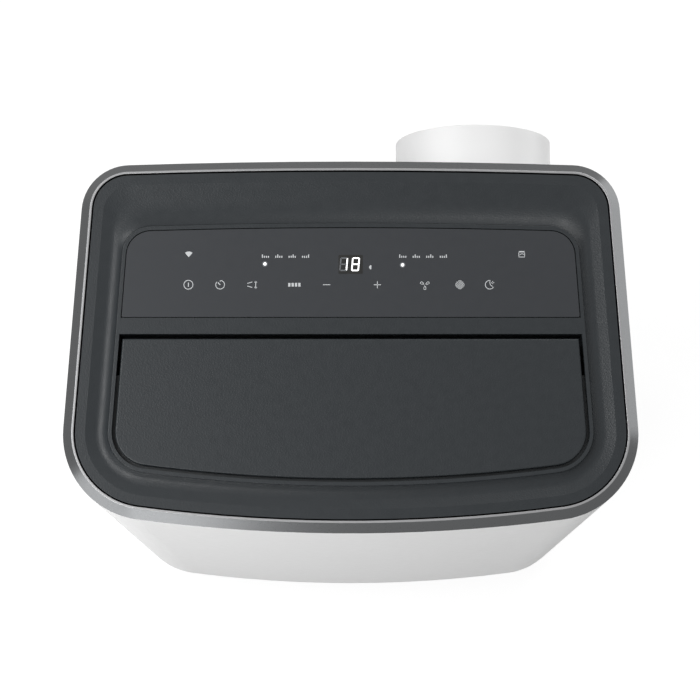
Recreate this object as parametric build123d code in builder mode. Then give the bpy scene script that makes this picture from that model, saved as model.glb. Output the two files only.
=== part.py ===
"""Portable air conditioner: a straight-walled cabinet on castors.

Millimetres, +Z up, the front faces -Y. The origin is on the floor, under the middle of the
overall box. Depths in this script are measured back from the front face, see depth().
"""

from build123d import *
import math
import os

os.makedirs("parts", exist_ok=True)

# Overall size
WIDTH = 496
DEPTH = 327
HEIGHT = 740
STUB_REACH = 70
FRONT_Y = -(DEPTH + STUB_REACH) / 2
BEHIND = DEPTH + STUB_REACH

# Plan outline of the cabinet
SIDE_TAPER = math.radians(3.6)
FRONT_BOW_R = 1400
REAR_BOW_R = 5800
FRONT_CORNER_R = 75
REAR_CORNER_R = 42
CORNER_X = WIDTH / 2 - FRONT_CORNER_R
CORNER_DEPTH = FRONT_BOW_R - math.sqrt((FRONT_BOW_R - FRONT_CORNER_R) ** 2 - CORNER_X**2)

# Room between neighbouring pieces, and how far a rib bites into the wall that carries it
CLEAR = 0.3
HOLE_CLEAR = 0.2
SKIN_CLEAR = 0.1
BITE = 0.5

# Casing
WALL = 3
CASE_BOTTOM = 34
RING_HEIGHT = 9
CROWN = 2.2
RING_TOP = HEIGHT - CROWN
CASE_TOP = RING_TOP - RING_HEIGHT
CASE_EDGE_R = 2.5
SEAM = 235
SEAM_GAP = 0.6
TONGUE = 8
TONGUE_SKIN = 2.3
TONGUE_FOOT = 92
TONGUE_HEAD = 705
HANDLE_DEPTH = 160
HANDLE_Z = 600
HANDLE_LENGTH = 124
HANDLE_HEIGHT = 58
HANDLE_R = 23
HANDLE_RIM = 10
HANDLE_POCKET = 36
HANDLE_GAP = 0.4
HANDLE_FLANGE = 8
HANDLE_DRAW = 6

# Top: bezel ring, rim, gutter, island
BEZEL_WIDTH = 10.2
BEZEL_FLAT = 2
BEZEL_SKIRT = 16
BEZEL_EDGE_R = 0.6
RIM_GROOVE = 1.2
RIM_STEP = 0.8
RIM_Z = RING_TOP - RIM_STEP
RIM_INNER = 20
GUTTER_INNER = 39.4
GUTTER_REAR = 57.4
# Slope of the gutter floor at shares of its width, counted from the rim, straight in between
GUTTER_LOW = 0.54
GUTTER_SLOPES = ((0, -0.28), (0.4, -0.25), (GUTTER_LOW, 0), (0.76, 0.42), (1, 1.2))
GUTTER_STEPS = 10
LIP_Z = HEIGHT
PART_LINE = 0.15
INNER_CORNER_R = 25
COVER_SKIN = 3
COVER_HEIGHT = 4.6
COVER_UNDERSIDE = RIM_Z - COVER_HEIGHT
LIP_WIDTH = 3.45
LIP_EDGE_R = 0.8
WELL_INSET = GUTTER_INNER + PART_LINE + LIP_WIDTH
WELL_BOTTOM = 708
FRAME_FLANGE = 6

# Flap, bridge and panel
FLAP_GAP = 2.9
FLAP_REAR = 167.3
FLAP_SKIN = 3
FLAP_SKIRT = 3
FLAP_EDGE_R = 1.6
SEAT_REACH = 5
SEAT_SKIN = 2.5
SEAT_GAP = 0.5
SEAT_REAR = 136
BRIDGE_FRONT = 171.3
BRIDGE_REAR = 185.4
BRIDGE_SKIN = 3.4
PANEL_GAP = 0.7
PANEL_SKIN = 3
PANEL_DROP = 0.2
PANEL_REAR_INSET = 62.2
PANEL_CORNER_R = 22
PANEL_FRONT_R = 1.5
PANEL_EDGE_R = 0.3
PANEL_LEDGE = 4
HINGE_DEPTH = 150.3
HINGE_DROP = 10.5
HINGE_Z = LIP_Z - HINGE_DROP
HINGE_EAR_X = 186
HINGE_EAR = 4
HINGE_EAR_R = 6
PIN_R = 2.98
PIN_SEAT_R = 3
PIN_BEARING_R = 3.05
PIN_END = 203
MOTOR_OFFSET = 9.5
MOTOR_GAP = 1
MOTOR_TANG_R = 2
MOTOR_TANG = 2
FLAP_MOTOR_R = 12
FLAP_MOTOR_LENGTH = 18

# Control electronics
BOARD_Z = 720.4
BOARD_SKIN = 1.6
BOARD_LENGTH = 340
BOARD_WIDTH = 50
BOARD_DEPTH = 224
BOARD_CORNER_R = 3
DISPLAY_DEPTH = 233.4
DISPLAY_LENGTH = 28
DISPLAY_WIDTH = 20
POST_R = 3
POST_INSET = 6

# Air outlet below the flap
MOUTH_LENGTH = 374
MOUTH_NEAR = 52
MOUTH_FAR = 146
MOUTH_STRAIGHT = 18
DUCT_WALL = 2.5
DUCT_TOP = WELL_BOTTOM - CLEAR
GRILLE_VANES = 13
VANE_SKIN = 2
VANE_HEIGHT = 14
GRILLE_RODS = 3
GRILLE_FIT = 1
VANE_END = 12

# Rear grilles and filters
UPPER_GRILLE = (-78, 548, 188, 270)
LOWER_GRILLE = (0, 230, 344, 270)
GRILLE_CORNER_R = 10
GRILLE_GAP = 0.6
SLOT_HEIGHT = 5
SLOT_PITCH = 9.6
SLOT_BRIDGE = 8
GRILLE_BORDER = 14
LEDGE = 5
LEDGE_REACH = 8
FILTER_INSET = 7
FILTER_BORDER = 7
FILTER_FRAME = 4
FILTER_NET = 0.8
FILTER_NEAR = 308
NET_STRAND = 1.6
FILTER_CORNER_R = 3
FILTER_POST_INSET = 20
UPPER_COLUMNS = 3
LOWER_COLUMNS = 5
UPPER_NET = (14, 20)
LOWER_NET = (19, 15)

# Exhaust
EXHAUST_X = 119
EXHAUST_Z = 519
STUB_R = 75
STUB_BORE_R = 72.2
STUB_BEAD_R = 82
STUB_NEAR = 306
COLLAR_R = 84
COLLAR_BORE_R = 77.5
COLLAR_FLANGE_R = 88
COLLAR_FACE = DEPTH + 4
COLLAR_NEAR = 299
STUB_BEAD = 4
STUB_EDGE_R = 1
EXHAUST_DUCT = (36, 200, 148, 298.7, 391, 612)

# Refrigerant side
EVAPORATOR = (-172, 16, 268, 304, 398, 680)
CONDENSER = (-166, 166, 262, 302, 76, 364)
BEND_R = 4
BEND_PITCH = 25
COMPRESSOR_X = -130
COMPRESSOR_DEPTH = 120
COMPRESSOR_R = 58
COMPRESSOR_FOOT = 74
COMPRESSOR_TOP = 320
FOOT_RADIUS = COMPRESSOR_R + 14
FOOT_R = 12
FOOT_SKIN = 4
FOOT_HOLE_R = 5
FEET = 3
MOUNT_R = 11
ACCUMULATOR = (-46, 84, 140, 280)
ACCUMULATOR_R = 24
PIPE_R = 4
PIPE_BEND_R = 14
PIPE_ROOM = 3
SUCTION_X = 46
SUCTION_Z = 652

# Blowers: centre x, centre z, depth of the housing's front face
EVAPORATOR_BLOWER = (-75, 535, 118)
CONDENSER_BLOWER = (85, 215, 150)
HOUSING_LENGTH = 86
HOUSING_WALL = 2.5
WHEEL_CLEAR = 14
WHEEL_LENGTH = 62
WHEEL_NEAR = 8
WHEEL_PLATE = 2
WHEEL_RING = 4
WHEEL_RING_WIDTH = 13.6
HUB_LENGTH = 24
HUB_R = 12
BLADES = 30
BLADE_SKIN = 1.6
BLADE_CHORD = 17
BLADE_TURN = 28
BLADE_INSET = 1
MOTOR_R = 46
MOTOR_LENGTH = 54
MOTOR_EDGE_R = 8
SHAFT_R = 4
SHAFT_SEAT_R = 4.02
MOTOR_BORE_R = 4.06
SHAFT_SOCKET = 12
SHAFT_END_GAP = 1
SHAFT_TIP = 2
EVAPORATOR_SCROLL_R = 102
CONDENSER_SCROLL_R = 110
EVAPORATOR_OUTLET = (-177, -57, 655)
CONDENSER_OUTLET = (75, 195, 385)

# Middle deck, base pan, electrics, splash wheel
MIDDLE_DECK_Z = 386
DECK_SKIN = 4
DECK_INSET = 6.5
PAN_BOTTOM = 53
PAN_SKIN = 4
PAN_INSET = 3.3
PAN_TOP = 86
ELECTRICAL_BOX = (64, 212, 44, 104, 430, 620)
ELECTRICAL_BOX_R = 6
SPLASH = (-60, 102)
SPLASH_R = 36
SPLASH_SKIN = 4
SPLASH_STAND = 3
SPLASH_NEAR = CONDENSER[2] - 14
SPLASH_MOTOR_R = 20
SPLASH_MOTOR_LENGTH = 37
PEGS = 12
PEG_R = 2.4
PEG_LENGTH = 6

# Drains, gland, screws
DRAIN_X = 100
DRAIN_HEIGHTS = {"lower": 72, "upper": 400}
SPOUT_R = 9
SPOUT_BORE_R = 6
SPOUT_NEAR = DEPTH - 16
SPOUT_END = DEPTH + 11
CAP_R = 13
CAP_BORE_R = 9.05
CAP_END = SPOUT_END + 4
CAP_GAP = 1
CAP_EDGE_R = 2
CAP_GRIP = 4
CAP_GRIP_INSET = 3
GLAND_X = -150
GLAND_Z = 72
GLAND_R = 8
GLAND_FLANGE_R = 12
GLAND_BORE_R = 3.6
GLAND_NEAR = DEPTH - 14
GLAND_FACE = DEPTH + 3
SCREW_X = 186
SCREW_HEIGHTS = (80, 230, 378, 694)
SCREW_R = 1.7
SCREW_HEAD_R = 4
SCREW_HEAD = 2.4
SCREW_DRIVE = 2.6
SCREW_SLOT = 1
SCREW_LENGTH = 10
SCREW_SEAT = DEPTH - SCREW_X**2 / (2 * REAR_BOW_R) + CLEAR

# Castors
CASTORS = {
    "front_left": (-183, 72),
    "front_right": (183, 72),
    "rear_left": (-172, 262),
    "rear_right": (172, 262),
}
WHEEL_R = 22
WHEEL_WIDTH = 18
WHEEL_EDGE_R = 3
CASTOR_TRAIL = 15
FORK_GAP = 1
FORK_CHEEK = 3
FORK_TOP = 50
FORK_DISC_R = 16
FORK_DISC = 4
CHEEK_TOP = 9.6
CHEEK_R = 7
STEM_R = 5
STEM_BORE_R = 5.06
STEM_LENGTH = 10
STEM_ROOM = 2
AXLE_R = 3
AXLE_SEAT_R = 3.02
AXLE_BORE_R = 3.06
TYRE = 6
HUB_SKIN = 4
HUB_DISH = 4
PLATE_SKIN = 2.6
PLATE_SIDE = 48
PLATE_CORNER_R = 6


def depth(distance):
    """Y of a point that lies this far behind the front face."""
    return FRONT_Y + distance


def upright(distance):
    """Vertical plane across the cabinet, drawn in X and Z; a negative extrusion goes back."""
    return Plane.XZ.offset(-depth(distance))


def save(piece, name):
    """Label a finished piece and write its file."""
    piece.part.label = name
    export_step(piece.part, f"parts/{name}.step")


def crossing(start, direction, centre_y, radius, far):
    """Point where a line meets a circle on the middle plane, the far or the near one."""
    offset_y = start[1] - centre_y
    along = start[0] * direction[0] + offset_y * direction[1]
    inside = start[0] ** 2 + offset_y**2 - radius**2
    root = math.sqrt(along**2 - inside)
    travel = -along + root if far else -along - root
    return (start[0] + travel * direction[0], start[1] + travel * direction[1])


def plan(inset, rear_inset=None, rear_corner=None):
    """Plan outline of the cabinet as a face, drawn inside its outer line by the inset."""
    rear_inset = inset if rear_inset is None else rear_inset
    rear_corner = max(REAR_CORNER_R - inset, PANEL_CORNER_R) if rear_corner is None else rear_corner
    corner_r = FRONT_CORNER_R - inset
    lean = (-math.sin(SIDE_TAPER), math.cos(SIDE_TAPER))
    touch_x = CORNER_X + corner_r * lean[1]
    touch_y = depth(CORNER_DEPTH) - corner_r * lean[0]
    front = crossing((touch_x, touch_y), lean, depth(FRONT_BOW_R), FRONT_BOW_R - inset, False)
    rear_centre = depth(DEPTH - REAR_BOW_R)
    rear = crossing((touch_x, touch_y), lean, rear_centre, REAR_BOW_R - rear_inset, True)
    with BuildSketch(mode=Mode.PRIVATE) as face:
        with BuildLine():
            ThreePointArc((-front[0], front[1]), (0, depth(inset)), front)
            Line(front, rear)
            ThreePointArc(rear, (0, depth(DEPTH - rear_inset)), (-rear[0], rear[1]))
            Line((-rear[0], rear[1]), (-front[0], front[1]))
        make_face()
        fillet(face.vertices().group_by(Axis.Y)[0], radius=corner_r)
        fillet(face.vertices().group_by(Axis.Y)[-1], radius=rear_corner)
    return face.sketch


def plan_between(inset, near, far, rear_inset=None, rear_corner=None):
    """The stretch of the plan outline between two depths, as a face."""
    with BuildSketch(mode=Mode.PRIVATE) as face:
        add(plan(inset, rear_inset, rear_corner))
        with Locations((0, depth((near + far) / 2))):
            Rectangle(2 * WIDTH, far - near, mode=Mode.INTERSECT)
    return face.sketch


def block(corners, mode=Mode.ADD):
    """Box from left, right, near depth, far depth, bottom and top."""
    left, right, near, far, bottom, top = corners
    with Locations(((left + right) / 2, depth((near + far) / 2), (bottom + top) / 2)):
        Box(right - left, far - near, top - bottom, mode=mode)


def grown(corners, amount):
    """The same corners with every side moved out, or in for a negative amount."""
    return tuple(value + (amount if index % 2 else -amount) for index, value in enumerate(corners))


def drum(x, z, near, far, radius, bore=0, mode=Mode.ADD):
    """Cylinder or tube that runs back from one depth to another."""
    with BuildSketch(upright(near)) as section:
        with Locations((x, z)):
            Circle(radius)
            if bore:
                Circle(bore, mode=Mode.SUBTRACT)
    extrude(section.sketch, amount=near - far, mode=mode)


def gutter_section(share):
    """Outline and height of the gutter floor at a share of its width from the rim."""
    width = GUTTER_INNER - RIM_INNER
    height = RIM_Z
    for (start, slope), (end, next_slope) in zip(GUTTER_SLOPES, GUTTER_SLOPES[1:]):
        run = min(share, end) - start
        if run > 0:
            slope_here = slope + (next_slope - slope) * run / (end - start)
            height += width * run * (slope + slope_here) / 2
    rear_inset = RIM_INNER + share * (GUTTER_REAR - RIM_INNER)
    return plan(RIM_INNER + share * width, rear_inset, INNER_CORNER_R), height


# Casing: one straight tube of the plan outline, parted at the seam into a front and a rear cover
with BuildPart() as casing:
    with BuildSketch(Plane.XY.offset(CASE_BOTTOM)):
        add(plan(0))
        add(plan(WALL), mode=Mode.SUBTRACT)
    extrude(amount=CASE_TOP - CASE_BOTTOM)
    fillet(casing.faces().sort_by(Axis.Z)[0].outer_wire().edges(), radius=CASE_EDGE_R)

with BuildPart() as front_cover:
    add(casing.part)
    with BuildSketch():
        with Locations((0, depth(SEAM - SEAM_GAP / 2))):
            Rectangle(2 * WIDTH, DEPTH, align=(Align.CENTER, Align.MIN))
    extrude(amount=HEIGHT, mode=Mode.SUBTRACT)
    with BuildSketch(Plane.YZ):
        with Locations((depth(HANDLE_DEPTH), HANDLE_Z)):
            RectangleRounded(HANDLE_LENGTH, HANDLE_HEIGHT, HANDLE_R)
    extrude(amount=WIDTH, both=True, mode=Mode.SUBTRACT)
save(front_cover, "front_cover")


def rounded_frame(x, z, width, height, grow, shrink):
    """Flat rounded frame on the rear wall; the whole rectangle where shrink is None."""
    with BuildSketch(upright(DEPTH - LEDGE_REACH), mode=Mode.PRIVATE) as frame:
        with Locations((x, z)):
            RectangleRounded(width + 2 * grow, height + 2 * grow, GRILLE_CORNER_R + grow)
            if shrink is not None:
                inner_r = GRILLE_CORNER_R - shrink
                RectangleRounded(width - 2 * shrink, height - 2 * shrink, inner_r, mode=Mode.SUBTRACT)
    return frame.sketch


# Ledges behind the grilles, and the pockets in the wall that the grilles fill
with BuildPart() as rear_ledges:
    for grille_place in (UPPER_GRILLE, LOWER_GRILLE):
        extrude(rounded_frame(*grille_place, LEDGE, LEDGE), amount=-2 * LEDGE_REACH)
    with BuildSketch():
        add(plan(WALL - BITE))
    extrude(amount=HEIGHT, mode=Mode.INTERSECT)

with BuildPart() as grille_pockets:
    for grille_place in (UPPER_GRILLE, LOWER_GRILLE):
        extrude(rounded_frame(*grille_place, GRILLE_GAP, None), amount=-2 * LEDGE_REACH)
    with BuildSketch():
        add(plan(WALL + CLEAR))
    extrude(amount=HEIGHT, mode=Mode.SUBTRACT)

with BuildPart() as rear_cover:
    add(casing.part)
    with BuildSketch():
        with Locations((0, depth(SEAM + SEAM_GAP / 2))):
            Rectangle(2 * WIDTH, DEPTH, align=(Align.CENTER, Align.MAX))
    extrude(amount=HEIGHT, mode=Mode.SUBTRACT)
    with BuildSketch(Plane.XY.offset(TONGUE_FOOT)):
        add(plan_between(WALL - BITE, SEAM + SEAM_GAP, SEAM + TONGUE))
        add(plan_between(WALL + CLEAR, SEAM - TONGUE, SEAM + TONGUE / 2))
        add(plan(WALL + TONGUE_SKIN), mode=Mode.SUBTRACT)
    extrude(amount=TONGUE_HEAD - TONGUE_FOOT)
    add(rear_ledges.part)
    add(grille_pockets.part, mode=Mode.SUBTRACT)
    drum(EXHAUST_X, EXHAUST_Z, FILTER_NEAR, BEHIND, COLLAR_R + CLEAR, mode=Mode.SUBTRACT)
    for spout_z in DRAIN_HEIGHTS.values():
        drum(DRAIN_X, spout_z, FILTER_NEAR, BEHIND, SPOUT_R + HOLE_CLEAR, mode=Mode.SUBTRACT)
    drum(GLAND_X, GLAND_Z, FILTER_NEAR, BEHIND, GLAND_R + HOLE_CLEAR, mode=Mode.SUBTRACT)
    for screw_z in SCREW_HEIGHTS:
        for screw_x in (-SCREW_X, SCREW_X):
            drum(screw_x, screw_z, FILTER_NEAR, BEHIND, SCREW_R + HOLE_CLEAR, mode=Mode.SUBTRACT)
save(rear_cover, "rear_cover")

with BuildPart() as bezel_ring:
    with BuildSketch(Plane.XY.offset(CASE_TOP)):
        add(plan(0))
    with BuildSketch(Plane.XY.offset(RING_TOP)):
        add(plan(BEZEL_WIDTH - BEZEL_FLAT))
    loft(ruled=True)
    with BuildSketch(Plane.XY.offset(CASE_TOP - BEZEL_SKIRT)):
        add(plan(WALL + CLEAR))
    extrude(amount=BEZEL_SKIRT)
    with BuildSketch(Plane.XY.offset(CASE_TOP - BEZEL_SKIRT)):
        add(plan(BEZEL_WIDTH))
    extrude(amount=HEIGHT, mode=Mode.SUBTRACT)
    top_edges = bezel_ring.faces().sort_by(Axis.Z)[-1].edges()
    fillet(top_edges, radius=BEZEL_EDGE_R)
save(bezel_ring, "bezel_ring")

with BuildPart() as top_cover:
    with BuildSketch(Plane.XY.offset(COVER_UNDERSIDE)):
        add(plan(BEZEL_WIDTH + RIM_GROOVE))
    extrude(amount=RIM_Z - COVER_UNDERSIDE)
    for start, end, mode in ((0, GUTTER_LOW, Mode.SUBTRACT), (GUTTER_LOW, 1, Mode.ADD)):
        for step in range(GUTTER_STEPS + 1):
            outline, height = gutter_section(start + (end - start) * step / GUTTER_STEPS)
            with BuildSketch(Plane.XY.offset(height)):
                add(outline)
        loft(ruled=True, mode=mode)
    with BuildSketch(Plane.XY.offset(COVER_UNDERSIDE)):
        add(plan(GUTTER_INNER, GUTTER_REAR, INNER_CORNER_R))
    extrude(amount=HEIGHT, mode=Mode.SUBTRACT)
    with BuildSketch(Plane.XY.offset(CASE_TOP - BEZEL_SKIRT)):
        add(plan(BEZEL_WIDTH + RIM_GROOVE))
        add(plan(BEZEL_WIDTH + RIM_GROOVE + COVER_SKIN), mode=Mode.SUBTRACT)
    extrude(amount=COVER_UNDERSIDE - CASE_TOP + BEZEL_SKIRT)
save(top_cover, "top_cover")

# Island: a frame with the flap's well in front, the bridge, and the panel's seat behind
FRAME_INSET = GUTTER_INNER + PART_LINE
FRAME_REAR = GUTTER_REAR + PART_LINE
with BuildPart() as deck_frame:
    with BuildSketch(Plane.XY.offset(WELL_BOTTOM)):
        add(plan(FRAME_INSET, FRAME_REAR, INNER_CORNER_R - PART_LINE))
    extrude(amount=LIP_Z - WELL_BOTTOM)
    fillet(deck_frame.faces().sort_by(Axis.Z)[-1].edges(), radius=LIP_EDGE_R)
    with BuildSketch(Plane.XY.offset(COVER_UNDERSIDE - COVER_SKIN - HOLE_CLEAR)):
        add(plan(FRAME_INSET - FRAME_FLANGE, FRAME_REAR - FRAME_FLANGE, INNER_CORNER_R + FRAME_FLANGE))
    extrude(amount=COVER_SKIN)
    with BuildSketch(Plane.XY.offset(WELL_BOTTOM)):
        add(plan_between(WELL_INSET, 0, BRIDGE_FRONT))
    extrude(amount=HEIGHT, mode=Mode.SUBTRACT)
    with BuildSketch(Plane.XY.offset(LIP_Z - FLAP_SKIN - FLAP_SKIRT - SEAT_GAP)):
        add(plan_between(WELL_INSET - BITE, 0, SEAT_REAR))
        add(plan(WELL_INSET + SEAT_REACH), mode=Mode.SUBTRACT)
    extrude(amount=-SEAT_SKIN)
    with BuildSketch(Plane.XY.offset(LIP_Z - PANEL_SKIN)):
        add(plan_between(WELL_INSET, BRIDGE_REAR, DEPTH, PANEL_REAR_INSET - PANEL_GAP, PANEL_CORNER_R))
    extrude(amount=HEIGHT, mode=Mode.SUBTRACT)
    with BuildSketch(Plane.XY.offset(WELL_BOTTOM)):
        under = WELL_INSET + PANEL_LEDGE
        under_rear = PANEL_REAR_INSET + PANEL_LEDGE
        add(plan_between(under, BRIDGE_REAR + PANEL_LEDGE, DEPTH, under_rear, PANEL_CORNER_R - PANEL_LEDGE))
    extrude(amount=HEIGHT, mode=Mode.SUBTRACT)
    with BuildSketch(Plane.XY.offset(WELL_BOTTOM)):
        add(plan_between(WELL_INSET, BRIDGE_FRONT + COVER_SKIN, BRIDGE_REAR - COVER_SKIN + PANEL_LEDGE))
    extrude(amount=LIP_Z - BRIDGE_SKIN - PANEL_SKIN - WELL_BOTTOM, mode=Mode.SUBTRACT)
    with BuildSketch(Plane.YZ):
        with Locations((depth(HINGE_DEPTH), HINGE_Z)):
            Circle(PIN_BEARING_R)
    extrude(amount=WIDTH / 2, both=True, mode=Mode.SUBTRACT)
    motor_room = FLAP_MOTOR_R + MOTOR_GAP
    motor_corners = (
        PIN_END + 2 * CLEAR,
        WIDTH / 2,
        HINGE_DEPTH - motor_room,
        HINGE_DEPTH + motor_room,
        WELL_BOTTOM,
        COVER_UNDERSIDE,
    )
    block(motor_corners, mode=Mode.SUBTRACT)
save(deck_frame, "deck_frame")

with BuildPart() as control_panel:
    with BuildSketch(Plane.XY.offset(LIP_Z - PANEL_SKIN)):
        add(
            plan_between(
                WELL_INSET + PANEL_GAP,
                BRIDGE_REAR + PANEL_GAP,
                DEPTH,
                PANEL_REAR_INSET,
                PANEL_CORNER_R - PANEL_GAP,
            )
        )
    extrude(amount=PANEL_SKIN - PANEL_DROP)
    fillet(control_panel.edges().filter_by(Axis.Z).sort_by(Axis.Y)[:2], radius=PANEL_FRONT_R)
    fillet(control_panel.faces().sort_by(Axis.Z)[-1].edges(), radius=PANEL_EDGE_R)
    with BuildSketch(Plane.XY.offset(BOARD_Z + BOARD_SKIN)):
        with Locations((0, depth(BOARD_DEPTH))):
            with GridLocations(BOARD_LENGTH - 2 * POST_INSET, BOARD_WIDTH - 2 * POST_INSET, 2, 2):
                Circle(POST_R)
    extrude(amount=LIP_Z - PANEL_SKIN - BOARD_Z - BOARD_SKIN)
save(control_panel, "control_panel")

with BuildPart() as control_board:
    with BuildSketch(Plane.XY.offset(BOARD_Z)):
        with Locations((0, depth(BOARD_DEPTH))):
            RectangleRounded(BOARD_LENGTH, BOARD_WIDTH, BOARD_CORNER_R)
    extrude(amount=BOARD_SKIN)
save(control_board, "control_board")

with BuildPart() as display_module:
    with BuildSketch(Plane.XY.offset(BOARD_Z + BOARD_SKIN)):
        with Locations((0, depth(DISPLAY_DEPTH))):
            Rectangle(DISPLAY_LENGTH, DISPLAY_WIDTH)
    extrude(amount=LIP_Z - PANEL_SKIN - BOARD_Z - BOARD_SKIN)
save(display_module, "display_module")

with BuildPart() as air_flap:
    with BuildSketch(Plane.XY.offset(LIP_Z - FLAP_SKIN)):
        add(plan_between(WELL_INSET + FLAP_GAP, 0, FLAP_REAR))
    extrude(amount=FLAP_SKIN)
    fillet(air_flap.faces().sort_by(Axis.Z)[-1].edges(), radius=FLAP_EDGE_R)
    with BuildSketch(Plane.XY.offset(LIP_Z - FLAP_SKIN)):
        add(plan_between(WELL_INSET + FLAP_GAP, 0, HINGE_DEPTH))
        add(plan(WELL_INSET + FLAP_GAP + FLAP_SKIN), mode=Mode.SUBTRACT)
    extrude(amount=-FLAP_SKIRT)
    with BuildSketch(Plane.YZ):
        with Locations((depth(HINGE_DEPTH), HINGE_Z)):
            Circle(HINGE_EAR_R)
            Rectangle(2 * HINGE_EAR_R, HINGE_DROP - FLAP_SKIN / 2, align=(Align.CENTER, Align.MIN))
    extrude(amount=HINGE_EAR_X + HINGE_EAR, both=True)
    with BuildSketch(Plane.YZ):
        with Locations((depth(HINGE_DEPTH), HINGE_Z - HINGE_EAR_R)):
            ears_clear = LIP_Z - FLAP_SKIN - HINGE_Z + HINGE_EAR_R
            Rectangle(4 * HINGE_EAR_R, ears_clear, align=(Align.CENTER, Align.MIN))
    extrude(amount=HINGE_EAR_X, both=True, mode=Mode.SUBTRACT)
    with BuildSketch(Plane.YZ):
        with Locations((depth(HINGE_DEPTH), HINGE_Z)):
            Circle(PIN_SEAT_R)
    extrude(amount=WIDTH / 2, both=True, mode=Mode.SUBTRACT)
save(air_flap, "air_flap")

with BuildPart() as flap_pins:
    with BuildSketch(Plane.YZ.offset(HINGE_EAR_X)):
        with Locations((depth(HINGE_DEPTH), HINGE_Z)):
            Circle(PIN_R)
    extrude(amount=PIN_END - HINGE_EAR_X)
    mirror(about=Plane.YZ)
save(flap_pins, "flap_pins")

with BuildPart() as flap_motor:
    with BuildSketch(Plane.YZ.offset(PIN_END + MOTOR_GAP)):
        with Locations((depth(HINGE_DEPTH), HINGE_Z - MOTOR_OFFSET)):
            Circle(FLAP_MOTOR_R)
    extrude(amount=FLAP_MOTOR_LENGTH)
    with BuildSketch(Plane.YZ.offset(PIN_END + CLEAR)):
        with Locations((depth(HINGE_DEPTH), HINGE_Z)):
            Circle(MOTOR_TANG_R)
    extrude(amount=MOTOR_TANG)
save(flap_motor, "flap_motor")

# Air outlet: a duct that widens from the blower to the well, and the guard grille in its mouth
MOUTH = (-MOUTH_LENGTH / 2, MOUTH_LENGTH / 2, MOUTH_NEAR, MOUTH_FAR)
THROAT_NEAR = EVAPORATOR_BLOWER[2]
THROAT = (EVAPORATOR_OUTLET[0], EVAPORATOR_OUTLET[1], THROAT_NEAR, THROAT_NEAR + HOUSING_LENGTH)


def rectangle_between(left, right, near, far, inset=0):
    """Rectangle in plan from its sides and depths, made smaller by the inset."""
    with Locations(((left + right) / 2, depth((near + far) / 2))):
        Rectangle(right - left - 2 * inset, far - near - 2 * inset)


with BuildPart() as outlet_duct:
    for inset, mode in ((0, Mode.ADD), (DUCT_WALL, Mode.SUBTRACT)):
        with BuildSketch(Plane.XY.offset(EVAPORATOR_OUTLET[2] + CLEAR)):
            rectangle_between(*THROAT, inset)
        with BuildSketch(Plane.XY.offset(DUCT_TOP - MOUTH_STRAIGHT)):
            rectangle_between(*MOUTH, inset)
        loft(ruled=True, mode=mode)
        with BuildSketch(Plane.XY.offset(DUCT_TOP - MOUTH_STRAIGHT)):
            rectangle_between(*MOUTH, inset)
        extrude(amount=MOUTH_STRAIGHT, mode=mode)
    with BuildSketch(Plane.XY.offset(DUCT_TOP - DUCT_WALL)):
        add(plan_between(FRAME_INSET + BITE, 0, BRIDGE_FRONT + COVER_SKIN))
        with Locations((0, depth((MOUTH_NEAR + MOUTH_FAR) / 2))):
            mouth_inner = MOUTH_FAR - MOUTH_NEAR - 2 * DUCT_WALL
            Rectangle(MOUTH_LENGTH - 2 * DUCT_WALL, mouth_inner, mode=Mode.SUBTRACT)
    extrude(amount=DUCT_WALL)
save(outlet_duct, "outlet_duct")

with BuildPart() as outlet_grille:
    frame_length = MOUTH_LENGTH - 2 * (DUCT_WALL + GRILLE_FIT)
    frame_width = MOUTH_FAR - MOUTH_NEAR - 2 * (DUCT_WALL + GRILLE_FIT)
    mouth_middle = depth((MOUTH_NEAR + MOUTH_FAR) / 2)
    with BuildSketch(Plane.XY.offset(DUCT_TOP - VANE_SKIN)):
        with Locations((0, mouth_middle)):
            Rectangle(frame_length, frame_width)
            Rectangle(frame_length - 4 * VANE_SKIN, frame_width - 4 * VANE_SKIN, mode=Mode.SUBTRACT)
            with GridLocations(frame_length, frame_width / (GRILLE_RODS + 1), 1, GRILLE_RODS):
                Rectangle(frame_length - VANE_SKIN, VANE_SKIN)
    extrude(amount=VANE_SKIN)
    with BuildSketch(Plane.XY.offset(DUCT_TOP - VANE_HEIGHT)):
        with Locations((0, mouth_middle)):
            with GridLocations(frame_length / (GRILLE_VANES + 1), 0, GRILLE_VANES, 1):
                Rectangle(VANE_SKIN, frame_width - 2 * VANE_END)
    extrude(amount=VANE_HEIGHT)
save(outlet_grille, "outlet_grille")


def rear_grille(x, z, width, height, columns):
    """Slotted grille in the line of the rear wall, with posts behind it for its filter."""
    rows = int((height - 2 * GRILLE_BORDER) / SLOT_PITCH)
    slot_length = (width - 2 * GRILLE_BORDER + SLOT_BRIDGE) / columns - SLOT_BRIDGE
    with BuildPart() as grille:
        with BuildSketch(Plane.XY.offset(z - height)):
            add(plan(0))
            add(plan(WALL), mode=Mode.SUBTRACT)
        extrude(amount=2 * height)
        extrude(rounded_frame(x, z, width, height, 0, None), amount=-2 * LEDGE_REACH, mode=Mode.INTERSECT)
        with BuildSketch(upright(DEPTH - LEDGE_REACH)):
            with Locations((x, z)):
                with GridLocations(slot_length + SLOT_BRIDGE, SLOT_PITCH, columns, rows):
                    SlotOverall(slot_length, SLOT_HEIGHT)
        extrude(amount=-2 * LEDGE_REACH, mode=Mode.SUBTRACT)
        with BuildSketch(upright(FILTER_NEAR + FILTER_FRAME)):
            with Locations((x, z)):
                post_width = width - 2 * FILTER_INSET - FILTER_BORDER
                with GridLocations(post_width, height - 2 * FILTER_POST_INSET, 2, 2):
                    Circle(POST_R)
        extrude(amount=FILTER_NEAR + FILTER_FRAME - DEPTH + WALL - BITE)
    return grille


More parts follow.
